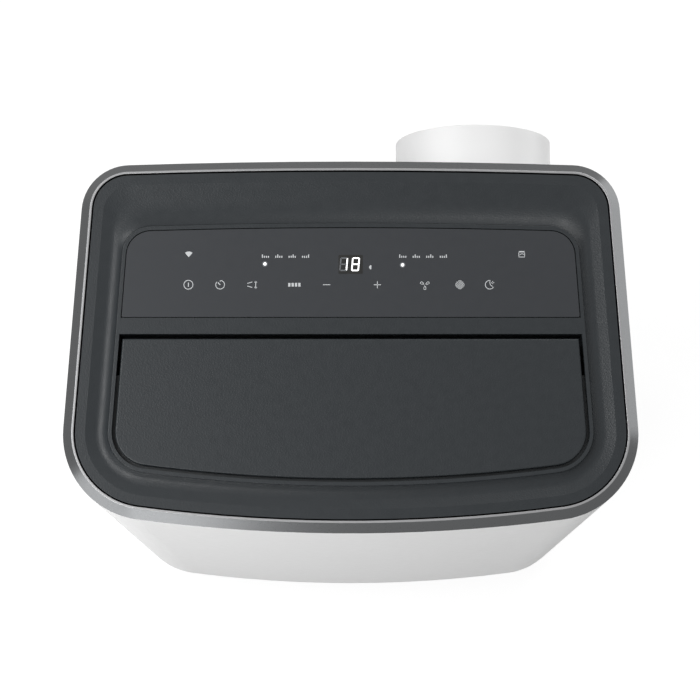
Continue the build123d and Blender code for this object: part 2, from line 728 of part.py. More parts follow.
def rear_filter(x, z, width, height, columns, rows):
    """Flat filter: a stiff border with a thin net across it."""
    outer_width = width - 2 * FILTER_INSET
    outer_height = height - 2 * FILTER_INSET
    net_width = outer_width - 2 * FILTER_BORDER
    net_height = outer_height - 2 * FILTER_BORDER
    pitch_x = (net_width + NET_STRAND) / columns
    pitch_z = (net_height + NET_STRAND) / rows
    with BuildPart() as screen:
        with BuildSketch(upright(FILTER_NEAR)):
            with Locations((x, z)):
                RectangleRounded(outer_width, outer_height, FILTER_CORNER_R)
                Rectangle(net_width, net_height, mode=Mode.SUBTRACT)
        extrude(amount=-FILTER_FRAME)
        with BuildSketch(upright(FILTER_NEAR + FILTER_FRAME / 2)):
            with Locations((x, z)):
                Rectangle(net_width + 2 * BITE, net_height + 2 * BITE)
                with GridLocations(pitch_x, pitch_z, columns, rows):
                    Rectangle(pitch_x - NET_STRAND, pitch_z - NET_STRAND, mode=Mode.SUBTRACT)
        extrude(amount=-FILTER_NET)
    return screen


save(rear_grille(*UPPER_GRILLE, UPPER_COLUMNS), "upper_grille")
save(rear_filter(*UPPER_GRILLE, *UPPER_NET), "upper_filter")
save(rear_grille(*LOWER_GRILLE, LOWER_COLUMNS), "lower_grille")
save(rear_filter(*LOWER_GRILLE, *LOWER_NET), "lower_filter")

# Exhaust: a collar in the rear wall, the pipe stub that plugs into it, and the duct behind
with BuildPart() as exhaust_collar:
    drum(EXHAUST_X, EXHAUST_Z, DEPTH - LEDGE_REACH, COLLAR_FACE, COLLAR_FLANGE_R)
    with BuildSketch():
        add(plan(-SKIN_CLEAR))
    extrude(amount=HEIGHT, mode=Mode.SUBTRACT)
    drum(EXHAUST_X, EXHAUST_Z, COLLAR_NEAR, COLLAR_FACE, COLLAR_R)
    drum(EXHAUST_X, EXHAUST_Z, COLLAR_NEAR, COLLAR_FACE, COLLAR_BORE_R, mode=Mode.SUBTRACT)
save(exhaust_collar, "exhaust_collar")

with BuildPart() as exhaust_adaptor:
    drum(EXHAUST_X, EXHAUST_Z, STUB_NEAR, DEPTH + STUB_REACH, STUB_R)
    drum(EXHAUST_X, EXHAUST_Z, COLLAR_FACE + CLEAR, COLLAR_FACE + STUB_BEAD, STUB_BEAD_R)
    drum(EXHAUST_X, EXHAUST_Z, STUB_NEAR, DEPTH + STUB_REACH, STUB_BORE_R, mode=Mode.SUBTRACT)
    fillet(exhaust_adaptor.faces().sort_by(Axis.Y)[-1].edges(), radius=STUB_EDGE_R)
save(exhaust_adaptor, "exhaust_adaptor")

with BuildPart() as exhaust_duct:
    block(EXHAUST_DUCT)
    inner_sides = grown(EXHAUST_DUCT, -DUCT_WALL)
    block((*inner_sides[:4], MIDDLE_DECK_Z, inner_sides[5]), mode=Mode.SUBTRACT)
    drum(EXHAUST_X, EXHAUST_Z, inner_sides[3] - DUCT_WALL, DEPTH, COLLAR_BORE_R, mode=Mode.SUBTRACT)
save(exhaust_duct, "exhaust_duct")

# Heat exchangers: finned blocks with return bends at both ends
for coil_name, coil_corners in (("evaporator_coil", EVAPORATOR), ("condenser_coil", CONDENSER)):
    with BuildPart() as coil:
        block(coil_corners)
    save(coil, coil_name)


def return_bends(corners):
    """Half-round tube bends up both ends of a heat exchanger, drawn in YZ and swept out in X."""
    left, right, near, far, bottom, top = corners
    count = int((top - bottom) / (2 * BEND_PITCH))
    middle = depth((near + far) / 2)
    for side, face_x in ((-1, left), (1, right)):
        for step in range(count):
            low = bottom + (2 * step + 0.5) * BEND_PITCH + (0 if side > 0 else BEND_PITCH / 2)
            start = (face_x + side * SKIN_CLEAR, middle, low)
            crown = (face_x + side * BEND_PITCH / 2, middle, low + BEND_PITCH / 2)
            end = (face_x + side * SKIN_CLEAR, middle, low + BEND_PITCH)
            with BuildLine() as path:
                ThreePointArc(start, crown, end)
            with BuildSketch(Plane(origin=start, z_dir=path.line % 0)) as section:
                Circle(BEND_R)
            sweep(section.sketch, path=path.line)


with BuildPart() as coil_bends:
    return_bends(EVAPORATOR)
    return_bends(CONDENSER)
save(coil_bends, "coil_bends")


def scroll_housing(place, radius, outlet):
    """Blower housing: a round scroll with a straight outlet up, open at the inlet behind."""
    x, z, near = place
    left, right, top = outlet
    with BuildPart() as housing:
        with BuildSketch(upright(near)):
            with Locations((x, z)):
                Circle(radius)
            with Locations(((left + right) / 2, z)):
                Rectangle(right - left, top - z, align=(Align.CENTER, Align.MIN))
        extrude(amount=-HOUSING_LENGTH)
        with BuildSketch(upright(near + HOUSING_WALL)):
            with Locations((x, z)):
                Circle(radius - HOUSING_WALL)
            with Locations(((left + right) / 2, z)):
                inner = right - left - 2 * HOUSING_WALL
                Rectangle(inner, top - z + HOUSING_WALL, align=(Align.CENTER, Align.MIN))
        extrude(amount=2 * HOUSING_WALL - HOUSING_LENGTH, mode=Mode.SUBTRACT)
        middle = near + HOUSING_LENGTH / 2
        drum(x, z, middle, near + HOUSING_LENGTH, radius - 2 * WHEEL_CLEAR, mode=Mode.SUBTRACT)
        drum(x, z, near, middle, HUB_R, mode=Mode.SUBTRACT)
    return housing


def blower_wheel(place, radius):
    """Drum of blades between a back plate with a hub and an end ring."""
    x, z, near = place
    wheel_near = near + HOUSING_WALL + WHEEL_NEAR
    wheel_far = wheel_near + WHEEL_LENGTH
    with BuildPart() as wheel:
        drum(x, z, wheel_near, wheel_near + WHEEL_PLATE, radius)
        drum(x, z, wheel_near, wheel_near + HUB_LENGTH, HUB_R)
        drum(x, z, wheel_far - WHEEL_RING, wheel_far, radius, radius - WHEEL_RING_WIDTH)
        with BuildSketch(upright(wheel_near + WHEEL_PLATE / 2)):
            with Locations((x, z)):
                with PolarLocations(radius - BLADE_CHORD / 2 - BLADE_INSET, BLADES):
                    Rectangle(BLADE_CHORD, BLADE_SKIN, rotation=BLADE_TURN)
        extrude(amount=WHEEL_PLATE - WHEEL_LENGTH)
        drum(x, z, wheel_near, wheel_far, SHAFT_SEAT_R, mode=Mode.SUBTRACT)
    return wheel


def blower_motor(place, radius, length):
    """Round motor in front of a blower housing, bored for its shaft."""
    x, z, near = place
    with BuildPart() as motor:
        drum(x, z, near - length, near - CLEAR, radius)
        fillet(motor.edges().filter_by(GeomType.CIRCLE).sort_by(Axis.Y)[0], radius=MOTOR_EDGE_R)
        drum(x, z, near - SHAFT_SOCKET, near, MOTOR_BORE_R, mode=Mode.SUBTRACT)
    return motor


def motor_shaft(place):
    """Shaft from the motor through the wheel's hub."""
    x, z, near = place
    start = near - SHAFT_SOCKET + SHAFT_END_GAP
    with BuildPart() as shaft:
        drum(x, z, start, near + HOUSING_WALL + WHEEL_NEAR + HUB_LENGTH + SHAFT_TIP, SHAFT_R)
    return shaft


for side, place, radius, outlet in (
    ("evaporator", EVAPORATOR_BLOWER, EVAPORATOR_SCROLL_R, EVAPORATOR_OUTLET),
    ("condenser", CONDENSER_BLOWER, CONDENSER_SCROLL_R, CONDENSER_OUTLET),
):
    save(scroll_housing(place, radius, outlet), f"{side}_blower_housing")
    save(blower_wheel(place, radius - WHEEL_CLEAR), f"{side}_blower_wheel")
    save(blower_motor(place, MOTOR_R, MOTOR_LENGTH), f"{side}_blower_motor")
    save(motor_shaft(place), f"{side}_motor_shaft")

# Middle deck: the drip tray between the halves, open for the exhaust and the pipes
with BuildPart() as middle_deck:
    with BuildSketch(Plane.XY.offset(MIDDLE_DECK_Z)):
        add(plan(DECK_INSET))
    extrude(amount=DECK_SKIN)
    outlet_near = CONDENSER_BLOWER[2] + HOUSING_WALL
    outlet_far = CONDENSER_BLOWER[2] + HOUSING_LENGTH - HOUSING_WALL
    outlet_left = CONDENSER_OUTLET[0] + HOUSING_WALL
    outlet_right = CONDENSER_OUTLET[1] - HOUSING_WALL
    block((outlet_left, outlet_right, outlet_near, outlet_far, 0, HEIGHT), mode=Mode.SUBTRACT)
    with Locations((SUCTION_X, depth(ACCUMULATOR[1]), MIDDLE_DECK_Z)):
        Cylinder(PIPE_R + PIPE_ROOM, 4 * DECK_SKIN, mode=Mode.SUBTRACT)
save(middle_deck, "middle_deck")

# Compressor on three rubber mounts, its suction accumulator and the copper pipes
with BuildPart() as compressor:
    with BuildSketch(Plane.XY.offset(COMPRESSOR_FOOT)):
        with Locations((COMPRESSOR_X, depth(COMPRESSOR_DEPTH))):
            with PolarLocations(FOOT_RADIUS, FEET):
                Circle(FOOT_R)
            Circle(COMPRESSOR_R + FOOT_SKIN)
            with PolarLocations(FOOT_RADIUS, FEET):
                Circle(FOOT_HOLE_R, mode=Mode.SUBTRACT)
    extrude(amount=FOOT_SKIN)
    with BuildSketch(Plane.XY.offset(COMPRESSOR_FOOT)):
        with Locations((COMPRESSOR_X, depth(COMPRESSOR_DEPTH))):
            Circle(COMPRESSOR_R)
    extrude(amount=COMPRESSOR_TOP - COMPRESSOR_FOOT)
    fillet(compressor.faces().sort_by(Axis.Z)[-1].edges(), radius=COMPRESSOR_R / 2)
save(compressor, "compressor")

with BuildPart() as compressor_mounts:
    with BuildSketch(Plane.XY.offset(PAN_BOTTOM + PAN_SKIN)):
        with Locations((COMPRESSOR_X, depth(COMPRESSOR_DEPTH))):
            with PolarLocations(FOOT_RADIUS, FEET):
                Circle(MOUNT_R)
    extrude(amount=COMPRESSOR_FOOT - PAN_BOTTOM - PAN_SKIN)
    with BuildSketch(Plane.XY.offset(COMPRESSOR_FOOT)):
        with Locations((COMPRESSOR_X, depth(COMPRESSOR_DEPTH))):
            with PolarLocations(FOOT_RADIUS, FEET):
                Circle(FOOT_HOLE_R - HOLE_CLEAR)
    extrude(amount=2 * FOOT_SKIN)
save(compressor_mounts, "compressor_mounts")

with BuildPart() as accumulator:
    tank_x, tank_depth, tank_bottom, tank_top = ACCUMULATOR
    with BuildSketch(Plane.XY.offset(tank_bottom)):
        with Locations((tank_x, depth(tank_depth))):
            Circle(ACCUMULATOR_R)
    extrude(amount=tank_top - tank_bottom)
    fillet(accumulator.edges().filter_by(GeomType.CIRCLE), radius=ACCUMULATOR_R / 2)
save(accumulator, "accumulator")


def copper_pipe(points):
    """Round tube along straight runs with equal bends."""
    with BuildLine() as path:
        FilletPolyline(*points, radius=PIPE_BEND_R)
    with BuildSketch(Plane(origin=points[0], z_dir=path.line % 0)) as section:
        Circle(PIPE_R)
    sweep(section.sketch, path=path.line)


with BuildPart() as refrigerant_pipes:
    discharge_z = COMPRESSOR_TOP + 2 * PIPE_BEND_R
    compressor_y = depth(COMPRESSOR_DEPTH)
    condenser_y = depth((CONDENSER[2] + CONDENSER[3]) / 2)
    evaporator_y = depth((EVAPORATOR[2] + EVAPORATOR[3]) / 2)
    tank_y = depth(ACCUMULATOR[1])
    bypass_x = CONDENSER[0] - 2 * PIPE_BEND_R
    copper_pipe(
        (
            (COMPRESSOR_X, compressor_y, COMPRESSOR_TOP + HOLE_CLEAR),
            (COMPRESSOR_X, compressor_y, discharge_z),
            (bypass_x, compressor_y, discharge_z),
            (bypass_x, condenser_y, discharge_z),
            (CONDENSER[0] - HOLE_CLEAR, condenser_y, discharge_z),
        )
    )
    copper_pipe(
        (
            (ACCUMULATOR[0], tank_y, ACCUMULATOR[3] + HOLE_CLEAR),
            (ACCUMULATOR[0], tank_y, discharge_z),
            (SUCTION_X, tank_y, discharge_z),
            (SUCTION_X, tank_y, SUCTION_Z),
            (SUCTION_X, evaporator_y, SUCTION_Z),
            (EVAPORATOR[1] + HOLE_CLEAR, evaporator_y, SUCTION_Z),
        )
    )
save(refrigerant_pipes, "refrigerant_pipes")

with BuildPart() as electrical_box:
    block(ELECTRICAL_BOX)
    fillet(electrical_box.edges().filter_by(Axis.Y), radius=ELECTRICAL_BOX_R)
    block(grown(ELECTRICAL_BOX, -HOUSING_WALL), mode=Mode.SUBTRACT)
save(electrical_box, "electrical_box")

# Splash wheel: dips in the base pan's water and throws it on the condenser
with BuildPart() as splash_motor:
    motor_face = SPLASH_NEAR - SPLASH_STAND
    drum(*SPLASH, motor_face - SPLASH_MOTOR_LENGTH, motor_face, SPLASH_MOTOR_R)
    drum(*SPLASH, motor_face, SPLASH_NEAR + SPLASH_SKIN, SHAFT_R)
save(splash_motor, "splash_motor")

with BuildPart() as splash_wheel:
    drum(*SPLASH, SPLASH_NEAR, SPLASH_NEAR + SPLASH_SKIN, SPLASH_R)
    with BuildSketch(upright(SPLASH_NEAR + SPLASH_SKIN / 2)):
        with Locations(SPLASH):
            with PolarLocations(SPLASH_R - SPLASH_SKIN, PEGS):
                Circle(PEG_R)
    extrude(amount=-PEG_LENGTH)
    drum(*SPLASH, SPLASH_NEAR, SPLASH_NEAR + PEG_LENGTH, MOTOR_BORE_R, mode=Mode.SUBTRACT)
save(splash_wheel, "splash_wheel")

# Base pan: a tray inside the foot of the casing
with BuildPart() as base_pan:
    with BuildSketch(Plane.XY.offset(PAN_BOTTOM)):
        add(plan(PAN_INSET))
    extrude(amount=PAN_TOP - PAN_BOTTOM)
    with BuildSketch(Plane.XY.offset(PAN_BOTTOM + PAN_SKIN)):
        add(plan(PAN_INSET + PAN_SKIN))
    extrude(amount=PAN_TOP, mode=Mode.SUBTRACT)
    for castor_x, castor_depth in CASTORS.values():
        with Locations((castor_x, depth(castor_depth), PAN_BOTTOM)):
            Cylinder(STEM_R + STEM_ROOM, 4 * PAN_SKIN, mode=Mode.SUBTRACT)
    for hole_x, hole_z, hole_r in (
        (DRAIN_X, DRAIN_HEIGHTS["lower"], SPOUT_R + HOLE_CLEAR),
        (GLAND_X, GLAND_Z, GLAND_FLANGE_R),
        (SCREW_X, SCREW_HEIGHTS[0], SCREW_HEAD_R),
        (-SCREW_X, SCREW_HEIGHTS[0], SCREW_HEAD_R),
    ):
        drum(hole_x, hole_z, FILTER_NEAR, DEPTH, hole_r, mode=Mode.SUBTRACT)
save(base_pan, "base_pan")

# Drains: a spout through the rear wall at each level, closed by a pull-off cap
with BuildPart() as drain_spouts:
    for spout_z in DRAIN_HEIGHTS.values():
        drum(DRAIN_X, spout_z, SPOUT_NEAR, SPOUT_END, SPOUT_R, SPOUT_BORE_R)
save(drain_spouts, "drain_spouts")

for level, spout_z in DRAIN_HEIGHTS.items():
    with BuildPart() as drain_cap:
        drum(DRAIN_X, spout_z, DEPTH + CAP_GAP, CAP_END, CAP_R)
        fillet(drain_cap.faces().sort_by(Axis.Y)[-1].edges(), radius=CAP_EDGE_R)
        drum(DRAIN_X, spout_z, DEPTH, SPOUT_END + CLEAR, CAP_BORE_R, mode=Mode.SUBTRACT)
        with BuildSketch(upright(CAP_END - CAP_GAP)):
            with Locations((DRAIN_X, spout_z)):
                SlotOverall(2 * (CAP_R - CAP_GRIP_INSET), CAP_GRIP)
        extrude(amount=-CAP_GRIP)
    save(drain_cap, f"drain_cap_{level}")

with BuildPart() as cord_gland:
    drum(GLAND_X, GLAND_Z, DEPTH - LEDGE_REACH, GLAND_FACE, GLAND_FLANGE_R)
    with BuildSketch():
        add(plan(-SKIN_CLEAR))
    extrude(amount=HEIGHT, mode=Mode.SUBTRACT)
    drum(GLAND_X, GLAND_Z, GLAND_NEAR, GLAND_FACE, GLAND_R)
    drum(GLAND_X, GLAND_Z, GLAND_NEAR, GLAND_FACE, GLAND_BORE_R, mode=Mode.SUBTRACT)
save(cord_gland, "cord_gland")

with BuildPart() as case_screws:
    for screw_z in SCREW_HEIGHTS:
        for screw_x in (-SCREW_X, SCREW_X):
            drum(screw_x, screw_z, SCREW_SEAT, SCREW_SEAT + SCREW_HEAD, SCREW_HEAD_R)
            drum(screw_x, screw_z, SCREW_SEAT - SCREW_LENGTH, SCREW_SEAT, SCREW_R)
            with BuildSketch(upright(SCREW_SEAT + SCREW_HEAD - SCREW_SLOT)):
                with Locations((screw_x, screw_z)):
                    Rectangle(2 * SCREW_DRIVE, SCREW_SLOT)
                    Rectangle(SCREW_SLOT, 2 * SCREW_DRIVE)
            extrude(amount=-SCREW_HEAD, mode=Mode.SUBTRACT)
save(case_screws, "case_screws")


def handle_cup(side):
    """Grip pocket let into a side wall: a flush rim, hollow from outside, and a flange behind."""
    pocket_floor = WIDTH / 2 - HANDLE_POCKET - HANDLE_DRAW
    place = (depth(HANDLE_DEPTH), HANDLE_Z)
    rim_length = HANDLE_LENGTH - 2 * HANDLE_GAP
    rim_height = HANDLE_HEIGHT - 2 * HANDLE_GAP
    rim_r = HANDLE_R - HANDLE_GAP
    pocket_length = rim_length - 2 * HANDLE_RIM
    pocket_height = rim_height - 2 * HANDLE_RIM
    pocket_r = rim_r - HANDLE_RIM
    with BuildPart() as rim:
        with BuildSketch(Plane.YZ):
            with Locations(place):
                RectangleRounded(rim_length, rim_height, rim_r)
        extrude(amount=side * WIDTH)
        with BuildSketch():
            add(plan(0))
            add(plan(2 * WALL), mode=Mode.SUBTRACT)
        extrude(amount=HEIGHT, mode=Mode.INTERSECT)
    with BuildPart() as cup:
        with BuildSketch(Plane.YZ):
            with Locations(place):
                RectangleRounded(HANDLE_LENGTH + HANDLE_FLANGE, HANDLE_HEIGHT + HANDLE_FLANGE, HANDLE_R)
        extrude(amount=side * WIDTH)
        with BuildSketch():
            add(plan(WALL + CLEAR))
            add(plan(2 * WALL), mode=Mode.SUBTRACT)
        extrude(amount=HEIGHT, mode=Mode.INTERSECT)
        add(rim.part)
        with BuildSketch(Plane.YZ.offset(side * pocket_floor)):
            with Locations(place):
                RectangleRounded(pocket_length + 2 * WALL, pocket_height + 2 * WALL, pocket_r + WALL)
        extrude(amount=side * WIDTH)
        with BuildSketch():
            add(plan(0))
        extrude(amount=HEIGHT, mode=Mode.INTERSECT)
        with BuildSketch(Plane.YZ.offset(side * (pocket_floor + WALL))):
            with Locations(place):
                RectangleRounded(pocket_length, pocket_height, pocket_r)
        extrude(amount=side * WIDTH, mode=Mode.SUBTRACT)
    return cup


save(handle_cup(-1), "handle_cup_left")
save(handle_cup(1), "handle_cup_right")


def castor_fork(x, near):
    """Swivel fork: a disc with a stem, and two cheeks that slant back to the axle."""
    stem = depth(near)
    axle = stem + CASTOR_TRAIL
    cheek_x = WHEEL_WIDTH / 2 + FORK_GAP
    with BuildPart() as fork:
        with Locations((x, stem, FORK_TOP)):
            Cylinder(FORK_DISC_R, FORK_DISC, align=(Align.CENTER, Align.CENTER, Align.MAX))
            Cylinder(STEM_R, STEM_LENGTH, align=(Align.CENTER, Align.CENTER, Align.MIN))
        for side in (-1, 1):
            with BuildSketch(Plane.YZ.offset(x + side * cheek_x)):
                with BuildLine():
                    Polyline(
                        (stem - CHEEK_TOP, FORK_TOP),
                        (stem + CHEEK_TOP, FORK_TOP),
                        (axle + CHEEK_R, WHEEL_R),
                        (axle - CHEEK_R, WHEEL_R),
                        close=True,
                    )
                make_face()
                with Locations((axle, WHEEL_R)):
                    Circle(CHEEK_R)
                    Circle(AXLE_SEAT_R, mode=Mode.SUBTRACT)
            extrude(amount=side * FORK_CHEEK)
    return fork


def castor_wheel(x, near):
    """Tyre with rounded shoulders and a dished hub, bored for the axle."""
    axle = depth(near) + CASTOR_TRAIL
    half = WHEEL_WIDTH / 2
    with BuildPart() as wheel:
        with BuildSketch(Plane.YZ.offset(x - half)):
            with Locations((axle, WHEEL_R)):
                Circle(WHEEL_R)
        extrude(amount=WHEEL_WIDTH)
        fillet(wheel.edges().filter_by(GeomType.CIRCLE), radius=WHEEL_EDGE_R)
        for face_x, inward in ((x - half, 1), (x + half, -1)):
            with BuildSketch(Plane.YZ.offset(face_x)):
                with Locations((axle, WHEEL_R)):
                    Circle(WHEEL_R - TYRE)
                    Circle(AXLE_R + HUB_SKIN, mode=Mode.SUBTRACT)
            extrude(amount=inward * HUB_DISH, mode=Mode.SUBTRACT)
        with BuildSketch(Plane.YZ.offset(x - half)):
            with Locations((axle, WHEEL_R)):
                Circle(AXLE_BORE_R)
        extrude(amount=WHEEL_WIDTH, mode=Mode.SUBTRACT)
    return wheel


def castor_axle(x, near):
    """Pin across the fork, flush with the cheeks."""
    reach = WHEEL_WIDTH / 2 + FORK_GAP + FORK_CHEEK
    with BuildPart() as axle:
        with BuildSketch(Plane.YZ.offset(x - reach)):
            with Locations((depth(near) + CASTOR_TRAIL, WHEEL_R)):
                Circle(AXLE_R)
        extrude(amount=2 * reach)
    return axle


for corner, (castor_x, castor_depth) in CASTORS.items():
    save(castor_fork(castor_x, castor_depth), f"castor_fork_{corner}")
    save(castor_wheel(castor_x, castor_depth), f"castor_wheel_{corner}")
    save(castor_axle(castor_x, castor_depth), f"castor_axle_{corner}")

with BuildPart() as castor_plates:
    for castor_x, castor_depth in CASTORS.values():
        with BuildSketch(Plane.XY.offset(PAN_BOTTOM - PLATE_SKIN)):
            with Locations((castor_x, depth(castor_depth))):
                RectangleRounded(PLATE_SIDE, PLATE_SIDE, PLATE_CORNER_R)
                Circle(STEM_BORE_R, mode=Mode.SUBTRACT)
        extrude(amount=PLATE_SKIN)
save(castor_plates, "castor_plates")
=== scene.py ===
"""Looks of a portable air conditioner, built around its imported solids.

Everything is in metres in the part's own frame: +Z up, the front faces -Y, the floor is z = 0.
"""
import logging
import math
from dataclasses import dataclass, field
from enum import Enum
from functools import cache
from typing import Callable

import bpy
from bpy.types import Material, MeshVertex, Node, NodeSocket, NodeTree, Object
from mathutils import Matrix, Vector


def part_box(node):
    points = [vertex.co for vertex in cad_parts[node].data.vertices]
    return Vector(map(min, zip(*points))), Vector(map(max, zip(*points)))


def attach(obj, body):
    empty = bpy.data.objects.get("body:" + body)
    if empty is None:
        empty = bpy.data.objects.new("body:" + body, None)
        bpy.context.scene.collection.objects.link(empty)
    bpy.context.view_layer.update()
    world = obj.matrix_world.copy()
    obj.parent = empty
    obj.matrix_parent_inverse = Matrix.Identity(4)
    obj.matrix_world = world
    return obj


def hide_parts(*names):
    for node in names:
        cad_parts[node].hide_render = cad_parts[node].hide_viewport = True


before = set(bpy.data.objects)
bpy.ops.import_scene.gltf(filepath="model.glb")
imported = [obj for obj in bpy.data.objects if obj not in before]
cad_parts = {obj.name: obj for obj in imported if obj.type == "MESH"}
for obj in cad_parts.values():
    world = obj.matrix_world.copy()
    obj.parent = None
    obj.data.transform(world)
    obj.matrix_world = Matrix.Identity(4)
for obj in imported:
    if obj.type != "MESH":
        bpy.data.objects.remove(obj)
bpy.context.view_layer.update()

LOG = logging.getLogger("air_conditioner")
MM = 0.001
FRONT_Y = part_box("bezel_ring")[0].y
PANEL_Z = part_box("control_panel")[1].z
RING_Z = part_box("bezel_ring")[1].z
CORNERS = ("front_left", "front_right", "rear_left", "rear_right")
NUMBER, VECTOR, COLOUR = "NodeSocketFloat", "NodeSocketVector", "NodeSocketColor"

Colour = tuple[float, float, float]
Place = tuple[float, float, float]


def linear(red: int, green: int, blue: int) -> Colour:
    """Turn a display colour into a scene colour.

    Args:
        red: Red channel, 0 to 255.
        green: Green channel, 0 to 255.
        blue: Blue channel, 0 to 255.

    Returns:
        The colour in linear light.
    """
    def channel(value: int) -> float:
        """Undo the display curve of one channel."""
        share = value / 255
        return share / 12.92 if share <= 0.04045 else ((share + 0.055) / 1.055) ** 2.4

    return channel(red), channel(green), channel(blue)


def rgba(colour: Colour) -> tuple[float, float, float, float]:
    """Add full opacity to a colour."""
    return (*colour, 1.0)


def toned(colour: Colour, gain: float) -> Colour:
    """Make a colour lighter or darker by a gain."""
    return tuple(min(1.0, channel * gain) for channel in colour)


# Modelling moves


def clear_selection() -> None:
    """Go to object mode with nothing selected."""
    if bpy.context.object and bpy.context.object.mode != "OBJECT":
        bpy.ops.object.mode_set(mode="OBJECT")
    bpy.ops.object.select_all(action="DESELECT")


def make_active(piece: Object) -> None:
    """Select one piece alone and make it the active one.

    Args:
        piece: The piece to work on.
    """
    clear_selection()
    piece.select_set(True)
    bpy.context.view_layer.objects.active = piece


def new_box(name: str, low: Place, high: Place) -> Object:
    """Add a box between two corners, with its place in its mesh.

    Args:
        name: Name of the piece.
        low: Lowest corner.
        high: Highest corner.

    Returns:
        The new piece.
    """
    clear_selection()
    centre = [(a + b) / 2 for a, b in zip(low, high)]
    bpy.ops.mesh.primitive_cube_add(size=1, location=centre)
    piece = bpy.context.object
    piece.name = name
    piece.scale = [b - a for a, b in zip(low, high)]
    settle(piece)
    return piece


def settle(piece: Object) -> None:
    """Move a piece's place, turn and scale into its mesh."""
    make_active(piece)
    bpy.ops.object.transform_apply(location=True, rotation=True, scale=True)


def apply_modifier(piece: Object, kind: str, **settings: object) -> None:
    """Add a modifier, set it up and apply it.

    Args:
        piece: The piece to shape.
        kind: Blender's name of the modifier.
        **settings: Values of the modifier's properties.
    """
    make_active(piece)
    modifier = piece.modifiers.new(kind.lower(), kind)
    for key, value in settings.items():
        setattr(modifier, key, value)
    bpy.ops.object.modifier_apply(modifier=modifier.name)


def repeat(piece: Object, count: int, step: Place) -> None:
    """Copy a piece in an even row.

    Args:
        piece: The piece to copy.
        count: Number of pieces in the row.
        step: Way from one piece to the next.
    """
    apply_modifier(
        piece, "ARRAY", count=count, use_relative_offset=False, use_constant_offset=True,
        constant_offset_displace=step,
    )


def join(pieces: list[Object], name: str) -> Object:
    """Join several pieces into the first one.

    Args:
        pieces: Pieces to join.
        name: Name of the joined piece.

    Returns:
        The joined piece.
    """
    clear_selection()
    for piece in pieces:
        piece.select_set(True)
    bpy.context.view_layer.objects.active = pieces[0]
    bpy.ops.object.join()
    joined = bpy.context.object
    joined.name = name
    return joined


# Node groups that several finishes share


def add_node(
    tree: NodeTree, kind: str, inputs: dict[str | int, object] | None = None, **settings: object
) -> Node:
    """Add a shader node and set it up.

    Args:
        tree: Node tree to add it to.
        kind: Blender's name of the node.
        inputs: Values of its input sockets.
        **settings: Values of its properties.

    Returns:
        The new node.
    """
    node = tree.nodes.new(kind)
    for key, value in settings.items():
        setattr(node, key, value)
    for key, value in (inputs or {}).items():
        node.inputs[key].default_value = value
    return node


def wire(tree: NodeTree, *pairs: tuple[NodeSocket, NodeSocket]) -> None:
    """Link pairs of sockets, each from an output to an input."""
    for source, sink in pairs:
        tree.links.new(source, sink)


def group_with(name: str, inputs: dict[str, str], outputs: dict[str, str]) -> NodeTree:
    """Start a shader node group.

    Args:
        name: Name of the group.
        inputs: Socket type of each input.
        outputs: Socket type of each output.

    Returns:
        The empty group with its sockets and its two end nodes.
    """
    tree = bpy.data.node_groups.new(name, "ShaderNodeTree")
    for way, sockets in (("INPUT", inputs), ("OUTPUT", outputs)):
        for label, kind in sockets.items():
            tree.interface.new_socket(label, in_out=way, socket_type=kind)
    add_node(tree, "NodeGroupInput", name="in")
    add_node(tree, "NodeGroupOutput", name="out")
    return tree


def group_noise(tree: NodeTree, detail: float, pace: float = 1.0) -> Node:
    """Add a noise that follows the group's place and scale.

    Args:
        tree: Group with the inputs Vector and Scale.
        detail: Detail of the noise.
        pace: How many times finer than the group's scale the noise is.

    Returns:
        The noise node.
    """
    source = tree.nodes["in"].outputs
    noise = add_node(tree, "ShaderNodeTexNoise", {"Detail": detail})
    finer = add_node(tree, "ShaderNodeMath", {1: pace}, operation="MULTIPLY")
    wire(
        tree,
        (source["Vector"], noise.inputs["Vector"]),
        (source["Scale"], finer.inputs[0]),
        (finer.outputs[0], noise.inputs["Scale"]),
    )
    return noise


def group_gloss(tree: NodeTree, share: NodeSocket) -> NodeSocket:
    """Spread a noise over the range between the group's inputs Gloss A and Gloss B.

    Args:
        tree: Group with those two inputs.
        share: Socket of the noise.

    Returns:
        Socket of the roughness.
    """
    source = tree.nodes["in"].outputs
    gloss = add_node(tree, "ShaderNodeMapRange", {"From Min": 0.3, "From Max": 0.7})
    wire(
        tree,
        (share, gloss.inputs["Value"]),
        (source["Gloss A"], gloss.inputs["To Min"]),
        (source["Gloss B"], gloss.inputs["To Max"]),
    )
    return gloss.outputs["Result"]


@cache
def drift_group() -> NodeTree:
    """Slow drift of tone and gloss over a moulded or drawn surface.

    Returns:
        The shared group.
    """
    ends = {"Tone A": COLOUR, "Tone B": COLOUR, "Gloss A": NUMBER, "Gloss B": NUMBER}
    tree = group_with(
        "surface_drift",
        {"Vector": VECTOR, "Scale": NUMBER, **ends},
        {"Colour": COLOUR, "Roughness": NUMBER},
    )
    source, sink = tree.nodes["in"].outputs, tree.nodes["out"].inputs
    broad = group_noise(tree, detail=3.0)
    fine = group_noise(tree, detail=5.0, pace=23.0)
    tone = add_node(tree, "ShaderNodeMix", data_type="RGBA")
    wire(
        tree,
        (broad.outputs["Fac"], tone.inputs["Factor"]),
        (source["Tone A"], tone.inputs["A"]),
        (source["Tone B"], tone.inputs["B"]),
        (tone.outputs["Result"], sink["Colour"]),
        (group_gloss(tree, fine.outputs["Fac"]), sink["Roughness"]),
    )
    return tree


